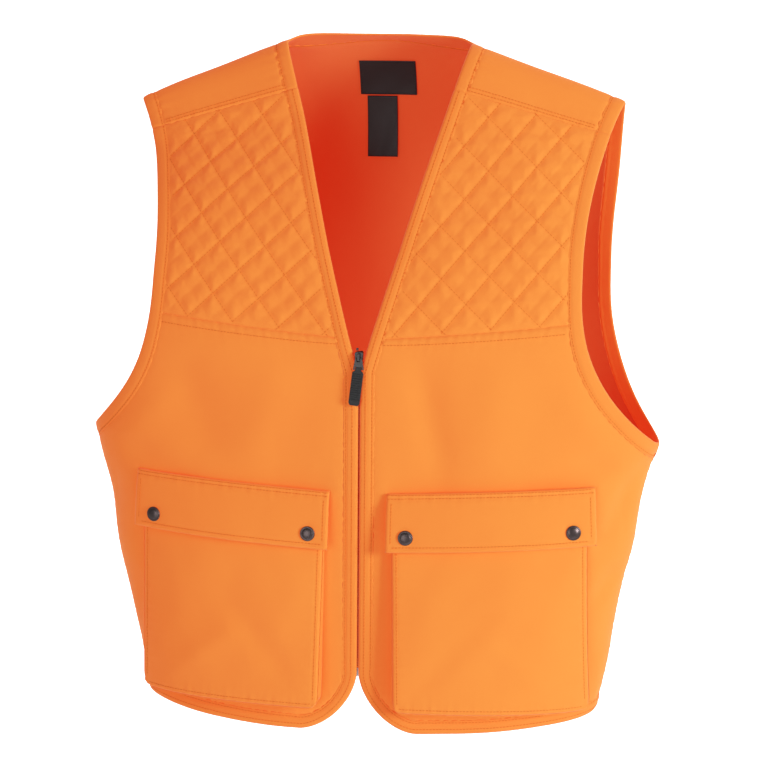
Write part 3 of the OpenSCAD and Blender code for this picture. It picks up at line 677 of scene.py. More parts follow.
def swell(o, pin, frames=12, cap=0.9):
    """Cloth simulation: stuffing presses the shell out between its pinned stitch lines."""
    before = np.array([v.co for v in o.data.vertices])
    group = o.vertex_groups.new(name="pin")
    for i, w in enumerate(pin):
        if w > 0.02:
            group.add([i], float(w), "REPLACE")
    mod = o.modifiers.new("Cloth", "CLOTH")
    s = mod.settings
    s.quality = 5
    s.mass = 0.15
    s.tension_stiffness = s.compression_stiffness = 12
    s.shear_stiffness = 6
    s.bending_stiffness = 0.25
    s.use_pressure = True
    s.uniform_pressure_force = 2.2
    s.shrink_min = -0.006
    s.vertex_group_mass = "pin"
    s.pin_stiffness = 1.0
    s.effector_weights.gravity = 0
    mod.collision_settings.use_collision = False
    mod.collision_settings.use_self_collision = False
    mod.point_cache.frame_start, mod.point_cache.frame_end = 1, frames
    scene = bpy.context.scene
    for f in range(1, frames + 1):
        scene.frame_set(f)
    dg = bpy.context.evaluated_depsgraph_get()
    after = np.array([v.co for v in o.evaluated_get(dg).data.vertices])
    o.modifiers.remove(mod)
    o.vertex_groups.remove(group)
    scene.frame_set(1)
    move = after - before
    size = np.linalg.norm(move, axis=1, keepdims=True)
    move *= np.minimum(1, cap * MM / np.maximum(size, 1e-9))
    o.data.vertices.foreach_set("co", (before + move).ravel())
    o.data.update()


def quilt_stitches(face, n, flat):
    """Stitch lines of both families, found where each grid row crosses them."""
    lines = []
    wide, high = np.abs(flat[..., 0]), flat[..., 2]
    for a, shift in QUILT_DIRS:
        field = -wide * math.sin(a) + high * math.cos(a) + shift
        for k in range(math.floor(field.min() / QUILT_PITCH), math.ceil(field.max() / QUILT_PITCH) + 1):
            pts, normals = [], []
            for i, row in enumerate(field - k * QUILT_PITCH):
                hit = np.where(row[:-1] * row[1:] <= 0)[0]
                if len(hit) == 0:
                    continue
                j = hit[0] + row[hit[0]] / (row[hit[0]] - row[hit[0] + 1] + 1e-9)
                if 1.0 < j < len(row) - 2.0:
                    pts.append(on_grid(face, [i], [j])[0])
                    normals.append(on_grid(n, [i], [j])[0])
            if len(pts) > 4:
                lines.append((pts, normals))
    return lines


# ------------------------------------------------------------------ the two fronts, their armholes and yokes
def folded_stitches(name, top, n):
    """The stitch line that holds a binding down."""
    return stitched(name, [edge_line(top, n, SEWN_COL, 0.1)])


for name, side in SIDES:
    # chest
    q_obj, q_face, q_n, q_flat = quilt(name, side)
    bend_front(q_obj)
    bend_front(stitched("quilt_stitches_" + name, quilt_stitches(q_face, q_n, q_flat),
                        pitch=3.6, length=2.7, r=0.26, lift=0.1))

    # lower front
    rows_arm, rows_side = 46, 66
    low_edge_in = np.array([corner(t, BIND - 0.4) for t in np.linspace(0, 1, 24)])
    hx = np.linspace(CORNER_X, HEM_W + 4, 60)[1:]
    bottom = front(np.concatenate([low_edge_in[:, 0], hx]), np.concatenate([low_edge_in[:, 1],
                   hem_line(hx) + BIND - 0.4]))
    inside = v_point(np.linspace(CHEST_IN_Q, bottom[0, 1], 300), BIND - 0.4)
    inside[-1] = bottom[0]
    t_arm = 1 - (1 - np.linspace(0, 1, 200)) ** 2
    arm_q = CHEST_OUT_Q + (PIT_IN_Q - CHEST_OUT_Q) * t_arm
    arm = resample(arm_point(arm_q, True), rows_arm)
    side_seam = np.stack([np.full(rows_side, SIDE_S), np.linspace(PIT_IN_Q, bottom[-1, 1], rows_side)], -1)
    outside = np.concatenate([arm, side_seam[1:]])
    outside[-1] = bottom[-1]
    inside = resample(inside, len(outside))
    top_edge = resample(run(inside[0], outside[0], 60), len(bottom))
    sq = span(top_edge, bottom, inside, outside)

    def lower_extra(p, u, v):
        """A welt below the chest seam, and cloth drawn in above the flap."""
        welt = 1.15 * np.exp(-((v - 2.6) / 2.0) ** 2)
        pocket_hang = 0.9 * np.exp(-((p[..., 2] - FLAP_Z - 3) / 7) ** 2) * (np.abs(p[..., 0] - 130) < 105)
        return welt - pocket_hang * 0.4

    low_obj, low_top, low_n = panel("front_panel_%s_cloth" % name, sq, side, "front_panel_" + name,
                                    extra=lower_extra)
    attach(low_obj, "front_" + name)
    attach(stitched("panel_stitches_" + name, [row_line(low_top, low_n, 2.1, 0.05, 0.01, 0.99)]),
            "front_" + name)

    # front binding: V, zip edge, corner, hem
    v_q = (V_Z - TOP_Z) / STEP
    qs = np.concatenate([np.linspace(YOKE_Q - 0.15, v_q, 90),
                         np.linspace(v_q - 0.6, (CORNER_Z - TOP_Z) / STEP + 1, 90)])
    ct = np.linspace(0, 1, 26)
    co = np.array([corner(t, 0) for t in ct])
    ci = np.array([corner(t, BIND) for t in ct])
    hx = np.linspace(CORNER_X, HEM_W + 4, 70)[1:]
    outer = np.concatenate([v_point(qs, 0), front(co[:, 0], co[:, 1]), front(hx, hem_line(hx))])
    inner = np.concatenate([v_point(qs, BIND + 0.6), front(ci[:, 0], ci[:, 1]),
                            front(hx, hem_line(hx) + BIND + 0.6)])
    b_obj, b_top, b_n = strip("front_binding_%s_cloth" % name, outer, inner, side, "front_binding_" + name,
                              lip=1.3)
    bend_front(b_obj)
    bend_front(stitched("front_binding_stitches_" + name, [edge_line(b_top, b_n, SEWN_COL, 0.1),
                                                           edge_line(b_top, b_n, 2.75, 0.05)]))

    # armhole binding, front
    t_arm = 1 - (1 - np.linspace(0, 1, 120)) ** 2
    outer = arm_point(YOKE_Q - 0.15 + (PIT_Q - YOKE_Q) * t_arm, False)
    inner = arm_point(YOKE_Q - 0.15 + (PIT_IN_Q - YOKE_Q) * t_arm, True)
    inner[:, 0] -= 0.002
    a_obj, a_top, a_n = strip("arm_binding_front_%s_cloth" % name, outer, inner, side,
                              "arm_binding_front_" + name)
    bend_front(a_obj)
    bend_front(folded_stitches("arm_stitches_front_" + name, a_top, a_n))

    # armhole binding, back, over the shoulder
    t_arm = 1 - (1 - np.linspace(0, 1, 200)) ** 2
    outer = arm_point(YOKE_Q + 0.1 + (180 - PIT_Q - YOKE_Q) * t_arm, False)
    inner = arm_point(YOKE_Q + 0.1 + (180 - PIT_IN_Q - YOKE_Q) * t_arm, True)
    a_obj, a_top, a_n = strip("arm_binding_back_%s_cloth" % name, outer, inner, side,
                              "arm_binding_back_" + name)
    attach(a_obj, "back")
    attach(folded_stitches("arm_stitches_back_" + name, a_top, a_n), "back")

    # yoke
    inside = v_point(np.linspace(YOKE_Q - 0.5, 91, 40), BIND - 0.6)
    outside = arm_point(np.linspace(YOKE_Q - 0.5, 91, 40), True)
    sq = span(run(inside[0], outside[0], 44), run(inside[-1], outside[-1], 44), inside, outside)
    y_obj, y_top, y_n = panel("yoke_%s_cloth" % name, sq, side, "yoke_" + name, seam_edges="tio", base=0.35,
                              extra=lambda p, u, v: 0.5 * np.exp(-((v - 2) / 2.0) ** 2))
    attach(y_obj, "back")
    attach(stitched("yoke_stitches_" + name, [row_line(y_top, y_n, row, 0.1) for row in (1.3, 2.9)]), "back")

# ------------------------------------------------------------------ back
neck_s = v_point(90.0, BIND - 0.6)[0]
out_s = arm_point(np.array(90.01), True)[0]
ang = np.radians(np.linspace(0, 180, 61))
neck = neck_point(ang, NECK_W + BIND - 0.6, 42.5)
ridge = np.stack([np.linspace(-out_s, -neck_s, 40), np.full(40, 89.6)], -1)
top_edge = np.concatenate([ridge[:-1], neck[1:-1], ridge[::-1][1:] * [-1, 1]])
top_edge = resample(top_edge, 150)
hx = np.linspace(-HEM_W - 4, HEM_W + 4, 150)
bottom = back(hx, back_hem(hx) + BIND - 0.4)
t_arm = 1 - (1 - np.linspace(0, 1, 200)) ** 2
arm = resample(arm_point(90.01 + (180 - PIT_IN_Q - 90.01) * t_arm, True), 90)
side_seam = np.stack([np.full(56, SIDE_S), np.linspace(180 - PIT_IN_Q, bottom[-1, 1], 56)], -1)
outside = np.concatenate([arm, side_seam[1:]])
outside[0], outside[-1] = top_edge[-1], bottom[-1]
sq = span(top_edge, bottom, outside * [-1, 1], outside, by_height=True)
b_obj, b_top, b_n = panel("back_panel_cloth", sq, 1, "back_panel", pucker=0.2)
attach(b_obj, "back")
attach(stitched("back_stitches", [edge_line(b_top, b_n, 2.5, 0.05),
                                   edge_line(b_top, b_n, b_top.shape[1] - 3.5, 0.05)]), "back")

# neck binding, whose top edge is drawn up level behind the neck
qs = np.linspace(YOKE_Q + 0.1, 88, 40)
side_out, side_in = v_point(qs, 0), v_point(qs, BIND + 0.6)
ang = np.radians(np.linspace(0, 180, 121))
outer = np.concatenate([side_out * [-1, 1], neck_point(ang, NECK_W, 33.0), side_out[::-1]])
inner = np.concatenate([side_in * [-1, 1], neck_point(ang, NECK_W + BIND + 0.6, 43.5), side_in[::-1]])
edge_z = surf(*neck_point(ang, NECK_W, 33.0).T)[:, 2]
level = (NECK_TOP_Z - edge_z) * (1 - np.abs(np.cos(ang)) ** 8)
rise = np.concatenate([np.zeros(40), level, np.zeros(40)])
n_obj, n_top, n_n = strip("neck_binding_cloth", outer, inner, 1, "neck_binding_back", rise=rise, reverse=SHADED_LINING)
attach(n_obj, "back")
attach(stitched("neck_stitches", [edge_line(n_top, n_n, SEWN_COL, 0.1),
                                   edge_line(n_top - n_n * 3.0, -n_n, SEWN_COL, 0.1)]), "back")

# hem band
hx = np.linspace(-HEM_W - 4, HEM_W + 4, 200)
h_obj, h_top, h_n = strip("hem_band_back_cloth", back(hx, back_hem(hx)), back(hx, back_hem(hx) + BIND + 0.6), 1,
                          "hem_band_back")
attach(h_obj, "back")
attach(stitched("hem_stitches_back", [edge_line(h_top, h_n, col, 0.1) for col in (SEWN_COL, 5.2)]), "back")

# seam allowances inside the two side seams, so that they stay closed when a front half opens
for name, side in SIDES:
    hem_q = (back_hem(HEM_W) + 3 - TOP_Z) / STEP
    s, q = np.meshgrid(np.linspace(0.96, 1.036, 11), np.linspace(PIT_IN_Q - 1.0, hem_q, 70))
    top, n = lay(np.stack([s, q], -1), -2.9, side)
    o = closed_shell("side_seam_%s_cloth" % name, top, top - n * 0.6, [SHADED_LINING], 0.1)
    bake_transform(o)

# ------------------------------------------------------------------ labels, left blank
def label(name, x0, top_z, w, h, off, body, cad, curl):
    """A satin label inside the back, off mm from the plain surface and curling forward at its foot."""
    u = np.linspace(0, 1, 33)[None, :]
    v = np.linspace(0, 1, 33)[:, None]
    x = x0 + w * (u - 0.5) + 0 * v
    z = top_z - h * v + 0 * u
    sq = back(x, z)
    p = surf(sq[..., 0], sq[..., 1])
    n = normal(sq[..., 0], sq[..., 1])
    lift = curl * v ** 2 * (0.6 + 0.4 * np.cos((u - 0.3) * 3)) + 0.25 * np.sin(u * 9 + v * 5) * v
    inner = p - n * (off + lift)[..., None]
    o = closed_shell(name, inner - n * 0.25, inner + n * 0.25, [SATIN], 0.1)
    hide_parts(cad)
    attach(o, body)
    return inner, n


l_in, l_n = label("neck_tag_cloth", -1.5, -17.5, 60, 36, 2.9, "back", "neck_tag", 0.3)
label("care_tag_cloth", -8.5, -54.7, 32, 65, 3.8, "care_label", "care_tag", 2.2)
th = Thread()
for pts, nn in (row_line(l_in, -l_n, 1.4, 0.3), row_line(l_in, -l_n, 30.6, 0.3),
                edge_line(l_in, -l_n, 1.0, 0.3), edge_line(l_in, -l_n, 31.0, 0.3)):
    th.line(pts, nn, pitch=2.6, length=2.0, r=0.22, lift=0.1)
o = th.build("neck_tag_stitches", LABEL_THREAD)
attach(o, "back")

# ------------------------------------------------------------------ pockets and flaps
FLAP_LIFT = 12.5


def closer(u, share):
    """The outer end of a pocket or flap lies closer to the body."""
    return 1 - share * np.clip(u, 0, 1) ** 3


def pocket_at(u, v):
    """x, z and standing off of the pocket front; u runs outward, v downward."""
    x = POCKET_X[0] + SLANT * v + (POCKET_X[1] - POCKET_X[0] - SLANT * v) * u
    z = MOUTH_Z + (POCKET_LOW - MOUTH_Z) * v + TILT * (u - 0.5) * (1 - v)
    off = (MOUTH_OFF + (LOW_OFF - MOUTH_OFF) * v) * closer(u, 0.3)
    return x, z, off + 2 * np.sin(np.pi * u) * np.sin(np.pi * v)


def flap_at(u, v):
    """The same for the flap."""
    x = FLAP_X[0] + (FLAP_X[1] - FLAP_X[0]) * u
    z = FLAP_Z + (FLAP_LOW - FLAP_Z) * v + TILT * (u - 0.5)
    return x, z, 2.2 + FLAP_LIFT * np.maximum(v, 1e-6) ** 0.55 * closer(u, 0.25)


def on_front(x, z, off, side):
    sq = front(x, z)
    p, n = surf(sq[..., 0], sq[..., 1]), normal(sq[..., 0], sq[..., 1])
    return mirror_x(p + n * off[..., None], side), mirror_x(n, side)


def round_corners(u, v, w, h, r, top=False):
    """Squares of side r at the lower corners are turned into quarter circles."""
    x, y = u * w, v * h
    a = np.minimum(x, w - x)
    b = np.minimum(y, h - y) if top else h - y
    p, q = np.clip((r - a) / r, 0, 1), np.clip((r - b) / r, 0, 1)
    dx, dy = p - p * np.sqrt(1 - q * q / 2), q - q * np.sqrt(1 - p * p / 2)
    x = x + np.where(x < w / 2, 1, -1) * dx * r
    y = y - np.where(y > h / 2, 1, -1) * dy * r
    return x / w, y / h


def facing(top):
    """Outward normals of a grid of points, from its own shape."""
    n = np.cross(np.gradient(top, axis=1), np.gradient(top, axis=0))
    n /= np.linalg.norm(n, axis=-1, keepdims=True) + 1e-9
    mid = n[n.shape[0] // 2, n.shape[1] // 2]
    return n if mid[1] < 0 else -n


def snap_frame(x, side):
    """Where a snap sits in the flap, its z axis square to the cloth."""
    u = (x - FLAP_X[0]) / (FLAP_X[1] - FLAP_X[0])
    v = (SNAP_Z - FLAP_Z) / (FLAP_LOW - FLAP_Z)
    fx, fz, off = flap_at(u, v)
    o, n = on_front(np.array(fx), np.array(fz), np.array(off), side)
    z = n + np.array([0, 0, 0.085])
    z /= np.linalg.norm(z)
    x_dir = np.cross([0, 0, 1], z)
    x_dir /= np.linalg.norm(x_dir)
    m = Matrix.Identity(4)
    for k, axis in enumerate((x_dir, np.cross(z, x_dir), z)):
        for r in range(3):
            m[r][k] = axis[r]
    for r in range(3):
        m[r][3] = o[r] * MM
    return m


def lathe(profile, seg=56):
    """Points and faces of a turned form: profile is (radius, height) in mm."""
    a = np.linspace(0, 2 * math.pi, seg + 1)[:-1]
    rings = [np.stack([r * np.cos(a), r * np.sin(a), np.full(seg, z)], -1) for r, z in profile]
    faces = []
    for k in range(len(profile) - 1):
        for m in range(seg):
            low, high, nxt = k * seg, (k + 1) * seg, (m + 1) % seg
            faces.append((low + m, low + nxt, high + nxt, high + m))
    faces.append(tuple(range(seg - 1, -1, -1)))
    faces.append(tuple((len(profile) - 1) * seg + m for m in range(seg)))
    return np.concatenate(rings), faces


def turned_at(part, profile, frames, name, body):
    """The same turned snap part at each frame, as one piece."""
    verts, faces, base = [], [], 0
    v, f = lathe(profile)
    for m in frames:
        r = np.array(m)[:3, :3]
        verts.append(v @ r.T + np.array(m)[:3, 3] / MM)
        faces += [tuple(i + base for i in q) for q in f]
        base += len(v)
    o = mesh("%s_%s_metal" % (part, name), np.concatenate(verts), faces, None, [BRONZE])
    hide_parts(part + "_" + name)
    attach(o, body)


# snap profiles, (radius, height) in mm from the flap's face
CAP = [(6.2, 0.0), (7.2, 0.05), (7.5, 0.45), (7.45, 0.95), (7.1, 1.3), (6.5, 1.42), (6.1, 1.3), (5.8, 1.28),
       (5.2, 1.75), (4.2, 2.15), (2.8, 2.45), (1.4, 2.58), (0.3, 2.6)]
SOCKET = [(3.6, -4.15), (5.0, -4.15), (5.4, -3.75), (5.4, -2.75), (5.0, -2.35), (0.4, -2.35), (0.4, -2.85),
          (3.3, -2.85), (3.6, -3.15)]
STUD = [(0.3, -7.5), (4.1, -7.5), (4.5, -7.2), (4.4, -6.8), (1.6, -6.65), (1.6, -4.8), (4.3, -4.75),
        (4.5, -4.5), (3.9, -4.32), (2.6, -4.25), (2.5, -3.7), (3.0, -3.4), (2.8, -3.15), (0.3, -3.1)]


def ridge(d, at, width, height):
    """A bump of the given height and width, at mm from an edge that is d mm away."""
    return height * np.exp(-((d - at) / width) ** 2)


for name, side in SIDES:
    front_body, pocket_body, flap_body = "front_" + name, "pocket_" + name, "flap_" + name
    seed = 21 if side > 0 else 34
    # pocket front
    r, c = 92, 84
    v, u = np.meshgrid(np.linspace(0, 1, r), np.linspace(0, 1, c), indexing="ij")
    wide, high = POCKET_X[1] - POCKET_X[0] + 8, MOUTH_Z - POCKET_LOW
    ru, rv = round_corners(u, v, wide, high, 13)
    x, z, off = pocket_at(ru, rv)
    edge = np.minimum.reduce([ru * wide, (1 - ru) * wide, (1 - rv) * high])
    p0, _ = on_front(x, z, off * 0, 1)
    loose = np.clip(edge / 40, 0, 1) * np.clip(rv * 3, 0.15, 1)
    dents = waves(p0, seed, (120, 70, 42), (1.7, 1.0, 0.5)) * loose
    dents = dents + fold_line(p0, (60, -640), (150, -540), 13, -1.5)
    dents = dents + fold_line(p0, (205, -650), (120, -585), 12, 1.2)
    roll = ridge(edge, 0, 1.6, -2.2) + ridge(edge, 5.0, 1.1, -0.5) + ridge(edge, 2.6, 1.3, 0.35)
    along = np.where(edge == (1 - rv) * high, ru * wide, rv * high)
    ripple = puckers(along, np.abs(edge - 5), 0.25, 9, 6, seed)
    top, n = on_front(x, z, off + dents + roll + ripple, side)
    n = facing(top)
    o = closed_shell("pocket_front_%s_cloth" % name, top, top - n * 1.3, [ORANGE], 0.4, (400, 0))
    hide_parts("pocket_front_" + name)
    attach(o, pocket_body)
    k = 5.0 / wide * (c - 1)
    kb = (1 - 5.0 / high) * (r - 1)
    above, n_above = top[:int(kb)], n[:int(kb)]
    lines = [edge_line(above, n_above, k), edge_line(above, n_above, c - 1 - k),
             row_line(top, n, kb, 0, 0.03, 0.97), row_line(top, n, 5.5)]
    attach(stitched("pocket_stitches_" + name, lines), pocket_body)
    # gusset: two sides and a bottom in runs, pleated inward
    runs = [("in", 0, 0, 1), ("out", 1, 0, 1)] + [("low%d" % m, m / 5, m, 0) for m in range(5)]
    for tag, at, m, upright in runs:
        t = np.linspace(0, 1, 40)
        if upright:
            gu, gv = np.full(40, float(at)), t * 0.985
        else:
            gu, gv = np.clip(at + t * 0.2 * 1.02, 0, 1), np.full(40, 1.0)
        gu, gv = round_corners(gu, gv, wide, high, 13)
        x, z, off = pocket_at(gu, gv)
        k = np.linspace(0, 1, 13)[None, :]
        fold = 3.2 * np.sin(np.pi * k) ** 2 + 0.6 * np.sin(np.pi * k * 2)
        inx = (0.5 - np.clip(gu, 0, 1))[:, None] * 2
        x2 = x[:, None] + fold * (np.sign(inx) if upright else inx) * (1 if upright else 0.2)
        z2 = z[:, None] + fold * (0 if upright else 1)
        lift = 0.3 + (off[:, None] - 1.9 - 0.3) * k
        top, n = on_front(x2, z2 + 0 * k, lift, side)
        n = facing(top)
        o = closed_shell("pocket_gusset_%s_%s" % (name, tag), top, top - n * 0.9, [BINDING], 0.1,
                         (700, 100 * m))
        if tag == "in":
            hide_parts("pocket_gusset_" + name)
        a, b = top[20, 0] * MM, top[20, -1] * MM
        _, nn = on_front(x[20:21], z[20:21], off[20:21], side)
        b = a + nn[0] * np.linalg.norm(b - a)
        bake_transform(o)
    # flap
    r, c = 40, 92
    v, u = np.meshgrid(np.linspace(0, 1, r), np.linspace(0, 1, c), indexing="ij")
    wide, high = 206.0, FLAP_Z - FLAP_LOW
    ru, rv = round_corners(u, v, wide, high, 4)
    x, z, off = flap_at(ru, rv)
    edge = np.minimum.reduce([ru * wide, (1 - ru) * wide, (1 - rv) * high])
    snap_u = [(s - FLAP_X[0]) / (FLAP_X[1] - FLAP_X[0]) for s in SNAP_X]
    between = np.clip(np.sin(np.pi * (ru - snap_u[0]) / (snap_u[1] - snap_u[0])), 0, 1)
    flat = np.stack([x, x * 0, z], -1)
    bow = 1.6 * between * rv ** 1.5 + 0.8 * waves(flat, seed + 5, (70, 40), (0.7, 0.4)) * between * rv
    fold = ridge(rv * high, 1.5, 2.0, 0.9) + ridge(rv * high, 5.0, 1.0, -0.7)
    hem = ridge(edge, 0, 1.0, -1.0) + ridge(edge, 5.2, 0.9, -0.45) + ridge(edge, 2.4, 1.4, 0.3)
    below = z - SNAP_Z - TILT * (ru - 0.5)
    dimple = sum(ridge(np.hypot((ru - s) * wide, below), 0, 11, -0.55) for s in snap_u)
    ripple = puckers(ru * wide, np.abs(rv * high - 5), 0.25, 10, 5, seed)
    top, n = on_front(x, z, off + bow + fold + hem + dimple + ripple, side)
    n = facing(top)
    o = closed_shell("flap_%s_cloth" % name, top, top - n * 1.7, [ORANGE], 0.7, (900, 0))
    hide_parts("flap_" + name)
    a = top[1, c // 2] * MM
    down = np.cross(top[1, -4] - top[1, 4], n[1, c // 2])
    down = down / np.linalg.norm(down)
    down = down if down[2] < 0 else -down
    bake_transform(o)
    st = stitched("flap_seam_stitches_" + name,
                  [row_line(top, n, d / high * (r - 1), 0, 0.005, 0.995) for d in (5.0, 1.6)])
    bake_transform(st)
    k = 5.2 / wide * (c - 1)
    kb = (1 - 5.2 / high) * (r - 1)
    sides = slice(int(9 / high * (r - 1)), int(kb))
    lines = [row_line(top, n, kb, 0, 0.03, 0.97), edge_line(top[sides], n[sides], k),
             edge_line(top[sides], n[sides], c - 1 - k)]
    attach(stitched("flap_stitches_" + name, lines), flap_body)
    frames = [snap_frame(x, side) for x in SNAP_X]
    turned_at("snap_caps", CAP, frames, name, flap_body)
    turned_at("snap_sockets", SOCKET, frames, name, flap_body)
    turned_at("snap_studs", STUD, frames, name, pocket_body)

# ------------------------------------------------------------------ zip
SLIDER_Z, SLIDER_L, ZIP_LOW = -299.0, 10.0, -624.0
TAPE_OFF, COIL_OFF = -1.9, -2.7
for name, side in SIDES:
    body = "front_" + name
    qa = (SLIDER_Z + 3 - TOP_Z) / STEP
    qs = np.concatenate([np.linspace(qa, (V_Z - TOP_Z) / STEP, 12), np.linspace((V_Z - TOP_Z) / STEP - 1,
                         (ZIP_LOW - 8 - TOP_Z) / STEP, 60)])
    w = np.linspace(-1.0, 13, 8)
    sq = np.stack([v_point(qs, k) for k in w], 1)
    top, n = lay(sq, TAPE_OFF - 0.5, side, False)
    o = closed_shell("zip_tape_%s_cloth" % name, top, top - n * 0.6, [TAPE], 0.1)
    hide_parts("zip_tape_" + name)
    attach(o, body)
    # coil: a flattened helix whose loops pass between the other side's
    z0 = SLIDER_Z + 1.0 if name == "right" else SLIDER_Z - SLIDER_L - 2.0
    pitch, turn = 1.7, 10
    n_loops = int((z0 - ZIP_LOW - 1) / pitch)
    t = np.arange(n_loops * turn + 1) / turn
    phase = 0.0 if side > 0 else 0.5
    a = 2 * math.pi * (t + phase)
    cx = side * (1.55 - 1.95 * np.cos(a))
    line = np.stack([cx, ZIP_Y - COIL_OFF + 0.95 + 0.8 * np.sin(a), z0 - t * pitch], -1)
    d = np.gradient(line, axis=0)
    d /= np.linalg.norm(d, axis=1, keepdims=True)
    s1 = np.cross(d, [0, 0, 1.0])
    s1 /= np.linalg.norm(s1, axis=1, keepdims=True)
    s2 = np.cross(d, s1)
    ang = np.linspace(0, 2 * math.pi, 7)[:-1]
    rings = np.stack([line + s1 * (0.33 * math.cos(q)) + s2 * (0.33 * math.sin(q)) for q in ang], 1)
    k, m = np.meshgrid(np.arange(len(line) - 1) * 6, np.arange(6), indexing="ij")
    nxt = (m + 1) % 6
    f = np.stack([k + m, k + nxt, k + 6 + nxt, k + 6 + m], -1).reshape(-1, 4)
    o = mesh("zip_coil_%s_loops" % name, rings.reshape(-1, 3), f, None, [COIL])
    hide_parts("zip_coil_" + name)
    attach(o, body)


def block(parts, name, mat, cad, body, bevel=0.35, askew=0.0):
    """Bevelled solids joined into one piece; each part is a list of (x, z) outline points and a y span.

    The whole is turned by askew degrees in its own plane about the link's bar."""
    ca, sa = math.cos(math.radians(askew)), math.sin(math.radians(askew))
    bm = bmesh.new()
    for outline, y0, y1 in parts:
        turned = [(x * ca + (z - BAR_Z) * sa, BAR_Z - x * sa + (z - BAR_Z) * ca) for x, z in outline]
        lo = [bm.verts.new((x * MM, -y1 * MM, z * MM)) for x, z in turned]
        hi = [bm.verts.new((x * MM, -y0 * MM, z * MM)) for x, z in turned]
        bm.faces.new(lo)
        bm.faces.new(hi[::-1])
        for i in range(len(lo)):
            j = (i + 1) % len(lo)
            bm.faces.new((lo[j], lo[i], hi[i], hi[j]))
    bmesh.ops.recalc_face_normals(bm, faces=bm.faces)
    me = bpy.data.meshes.new(name)
    bm.to_mesh(me)
    bm.free()
    o = bpy.data.objects.new(name, me)
    bpy.context.scene.collection.objects.link(o)
    me.materials.append(mat)
    me.polygons.foreach_set("use_smooth", [True] * len(me.polygons))
    b = o.modifiers.new("Bevel", "BEVEL")
    b.width = bevel * MM
    b.segments = 3
    b.limit_method = "ANGLE"
    b.angle_limit = math.radians(25)
    b.harden_normals = True
    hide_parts(cad)
    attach(o, body)


def rect(x0, x1, z0, z1):
    return [(x0, z0), (x1, z0), (x1, z1), (x0, z1)]


def mirrored(half):
    """An outline from its right half, listed from the top down."""
    return half + [(-x, z) for x, z in half[::-1]]


SLIDER_LOW = SLIDER_Z - SLIDER_L
Y0 = -ZIP_Y                              # how far the zip stands in front of the origin
PIN_Z, PIN_OFF = SLIDER_LOW + 3.4, 4.3
BAR_Z = PIN_Z - 10.0
PIN_Y = Y0 + PIN_OFF
GRIP_L, GRIP_W = 37.0, 5.6               # length and half width of the pull's grip
RIB_PITCH, RIB_H = 2.35, 1.3
plate = mirrored([(3.2, SLIDER_Z), (4.2, SLIDER_Z - 1.5), (3.7, SLIDER_LOW + 1.2), (3.0, SLIDER_LOW)])
rear_plate = [(x * 0.78, z) for x, z in plate]
crown = mirrored([(0.9, PIN_Z + 5.2), (1.3, PIN_Z + 4.6), (1.3, PIN_Z - 1.8)])
block([(plate, Y0 + 1.0, Y0 + 2.8),
       (rear_plate, Y0 - 7.0, Y0 - 5.3),
       (rect(-0.6, 0.6, SLIDER_Z - 5, SLIDER_Z - 0.4), Y0 - 5.6, Y0 + 1.7),
       (crown, Y0 + 2.2, Y0 + 6.0)], "slider_shell", BLACK_METAL, "slider_body", "slider")
link = [(-3.3, PIN_Z + 0.9), (-1.6, PIN_Z + 0.9), (-1.6, PIN_Z - 2.8), (1.6, PIN_Z - 2.8), (1.6, PIN_Z + 0.9),
        (3.3, PIN_Z + 0.9), (5.2, BAR_Z + 0.4), (5.2, BAR_Z - 0.9), (3.5, BAR_Z - 0.9), (3.5, BAR_Z + 1.6),
        (-3.5, BAR_Z + 1.6), (-3.5, BAR_Z - 0.9), (-5.2, BAR_Z - 0.9), (-5.2, BAR_Z + 0.4)]
block([(link, PIN_Y - 0.75, PIN_Y + 0.75),
       (rect(-3.6, 3.6, BAR_Z - 0.7, BAR_Z + 0.7), PIN_Y - 0.6, PIN_Y + 0.6),
       (rect(-1.7, 1.7, PIN_Z - 0.5, PIN_Z + 0.5), PIN_Y - 0.5, PIN_Y + 0.5)],
      "pull_link_frame", BLACK_METAL, "pull_link", "pull_tab", 0.3)
grip = mirrored([(2.9, BAR_Z + 1.8), (3.0, BAR_Z - 1.6), (GRIP_W - 0.6, BAR_Z - 3.2), (GRIP_W, BAR_Z - 5),
                 (GRIP_W, BAR_Z - GRIP_L + 2.5), (GRIP_W - 1.6, BAR_Z - GRIP_L)])
rib_tops = [BAR_Z - 4.9 - RIB_PITCH * k for k in range(12)]
ribs = [(rect(-4.9, 4.9, z - RIB_H, z), PIN_Y - 1.85, PIN_Y + 1.85) for z in rib_tops]
block([(grip, PIN_Y - 1.15, PIN_Y + 1.15)] + ribs, "pull_handle_ribbed", RUBBER,
      "pull_handle", "pull_grip", 0.45, askew=7.0)
for name, side in SIDES:
    z = SLIDER_Z + 1.2 if name == "right" else SLIDER_LOW - 2.2
    x0, x1 = sorted((1.3 * side, 3.6 * side))
    block([(rect(x0, x1, z, z + 1.9), Y0 - 4.9, Y0 - 2.5)], "zip_top_stop_%s_metal" % name, BLACK_METAL,
          "zip_top_stop_" + name, "front_" + name, 0.4)
    x0, x1 = sorted((0.2 * side, (3.2 if name == "left" else 4.0) * side))
    x2, x3 = sorted((0.2 * side, 2.4 * side))
    block([(rect(x0, x1, ZIP_LOW - 9, ZIP_LOW), Y0 - 5.2, Y0 - 2.2),
           (rect(x2, x3, ZIP_LOW - 7.5, ZIP_LOW - 2), Y0 - 2.4, Y0 - 1.4)], "zip_end_%s_metal" % name, SILVER,
          "zip_pin_left" if name == "left" else "zip_box_right", "front_" + name, 0.4)

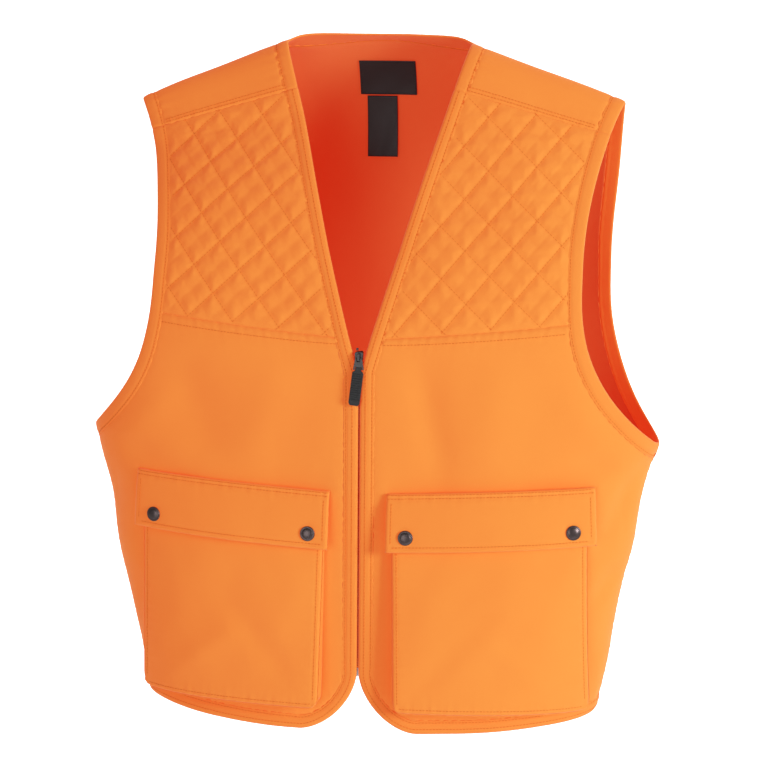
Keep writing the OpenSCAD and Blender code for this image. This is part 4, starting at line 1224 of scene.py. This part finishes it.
# ------------------------------------------------------------------ stage, light, camera
scene = bpy.context.scene
scene.view_settings.view_transform = "Standard"
scene.view_settings.look = "None"
world = bpy.data.worlds.new("studio")
scene.world = world
world.use_nodes = True
world.node_tree.nodes["Background"].inputs["Color"].default_value = (1, 1, 1, 1)
world.node_tree.nodes["Background"].inputs["Strength"].default_value = 0.24


def stage_plane(name, size, loc, rot, glow=0.0):
    me = bpy.data.meshes.new(name)
    corners = [(-size, -size, 0), (size, -size, 0), (size, size, 0), (-size, size, 0)]
    me.from_pydata(corners, [], [(0, 1, 2, 3)])
    o = bpy.data.objects.new(name, me)
    o.location, o.rotation_euler = loc, rot
    scene.collection.objects.link(o)
    m, nt, nodes, b = new_mat(name + "_paper")
    b.inputs["Base Color"].default_value = (0.93, 0.93, 0.93, 1)
    b.inputs["Roughness"].default_value = 0.9
    b.inputs["Emission Color"].default_value = (1, 1, 1, 1)
    b.inputs["Emission Strength"].default_value = glow
    me.materials.append(m)


FLOOR_Z, WALL_Y = -2.5, 3.0
stage_plane("floor", 8, (0, 0, FLOOR_Z), (0, 0, 0))
stage_plane("backdrop", 8, (0, WALL_Y, FLOOR_Z + 8), (R90, 0, 0), 0.95)


def area(name, loc, target, size, power):
    d = bpy.data.lights.new(name, "AREA")
    d.shape, d.size, d.size_y, d.energy = "RECTANGLE", size[0], size[1], power
    o = bpy.data.objects.new(name, d)
    o.location = loc
    o.rotation_euler = (Vector(target) - Vector(loc)).to_track_quat("-Z", "Y").to_euler()
    scene.collection.objects.link(o)


area("key", (2.65, -1.5, 0.1), (0, 0, -0.45), (0.9, 0.9), 82)
area("fill", (-0.8, -2.8, -0.5), (0, 0, -0.4), (1.6, 1.6), 23)

AZ, EL, DIST = math.radians(9), math.radians(10), 2.2
back_dir = Vector((math.sin(AZ) * math.cos(EL), -math.cos(AZ) * math.cos(EL), math.sin(EL)))
right_dir = Vector((math.cos(AZ), math.sin(AZ), 0))
up_dir = back_dir.cross(right_dir)
look = Vector((0, 0, -0.33)) + right_dir * 0.0067 - up_dir * 0.0208
cam_data = bpy.data.cameras.new("camera")
cam_data.lens = 99
cam_data.sensor_width = 36
cam_data.clip_end = 50
cam = bpy.data.objects.new("camera", cam_data)
cam.location = look + back_dir * DIST
ROLL = math.radians(0.45)
cam.rotation_euler = ((-back_dir).to_track_quat("-Z", "Y") @ Quaternion((0, 0, 1), ROLL)).to_euler()
scene.collection.objects.link(cam)
scene.camera = cam
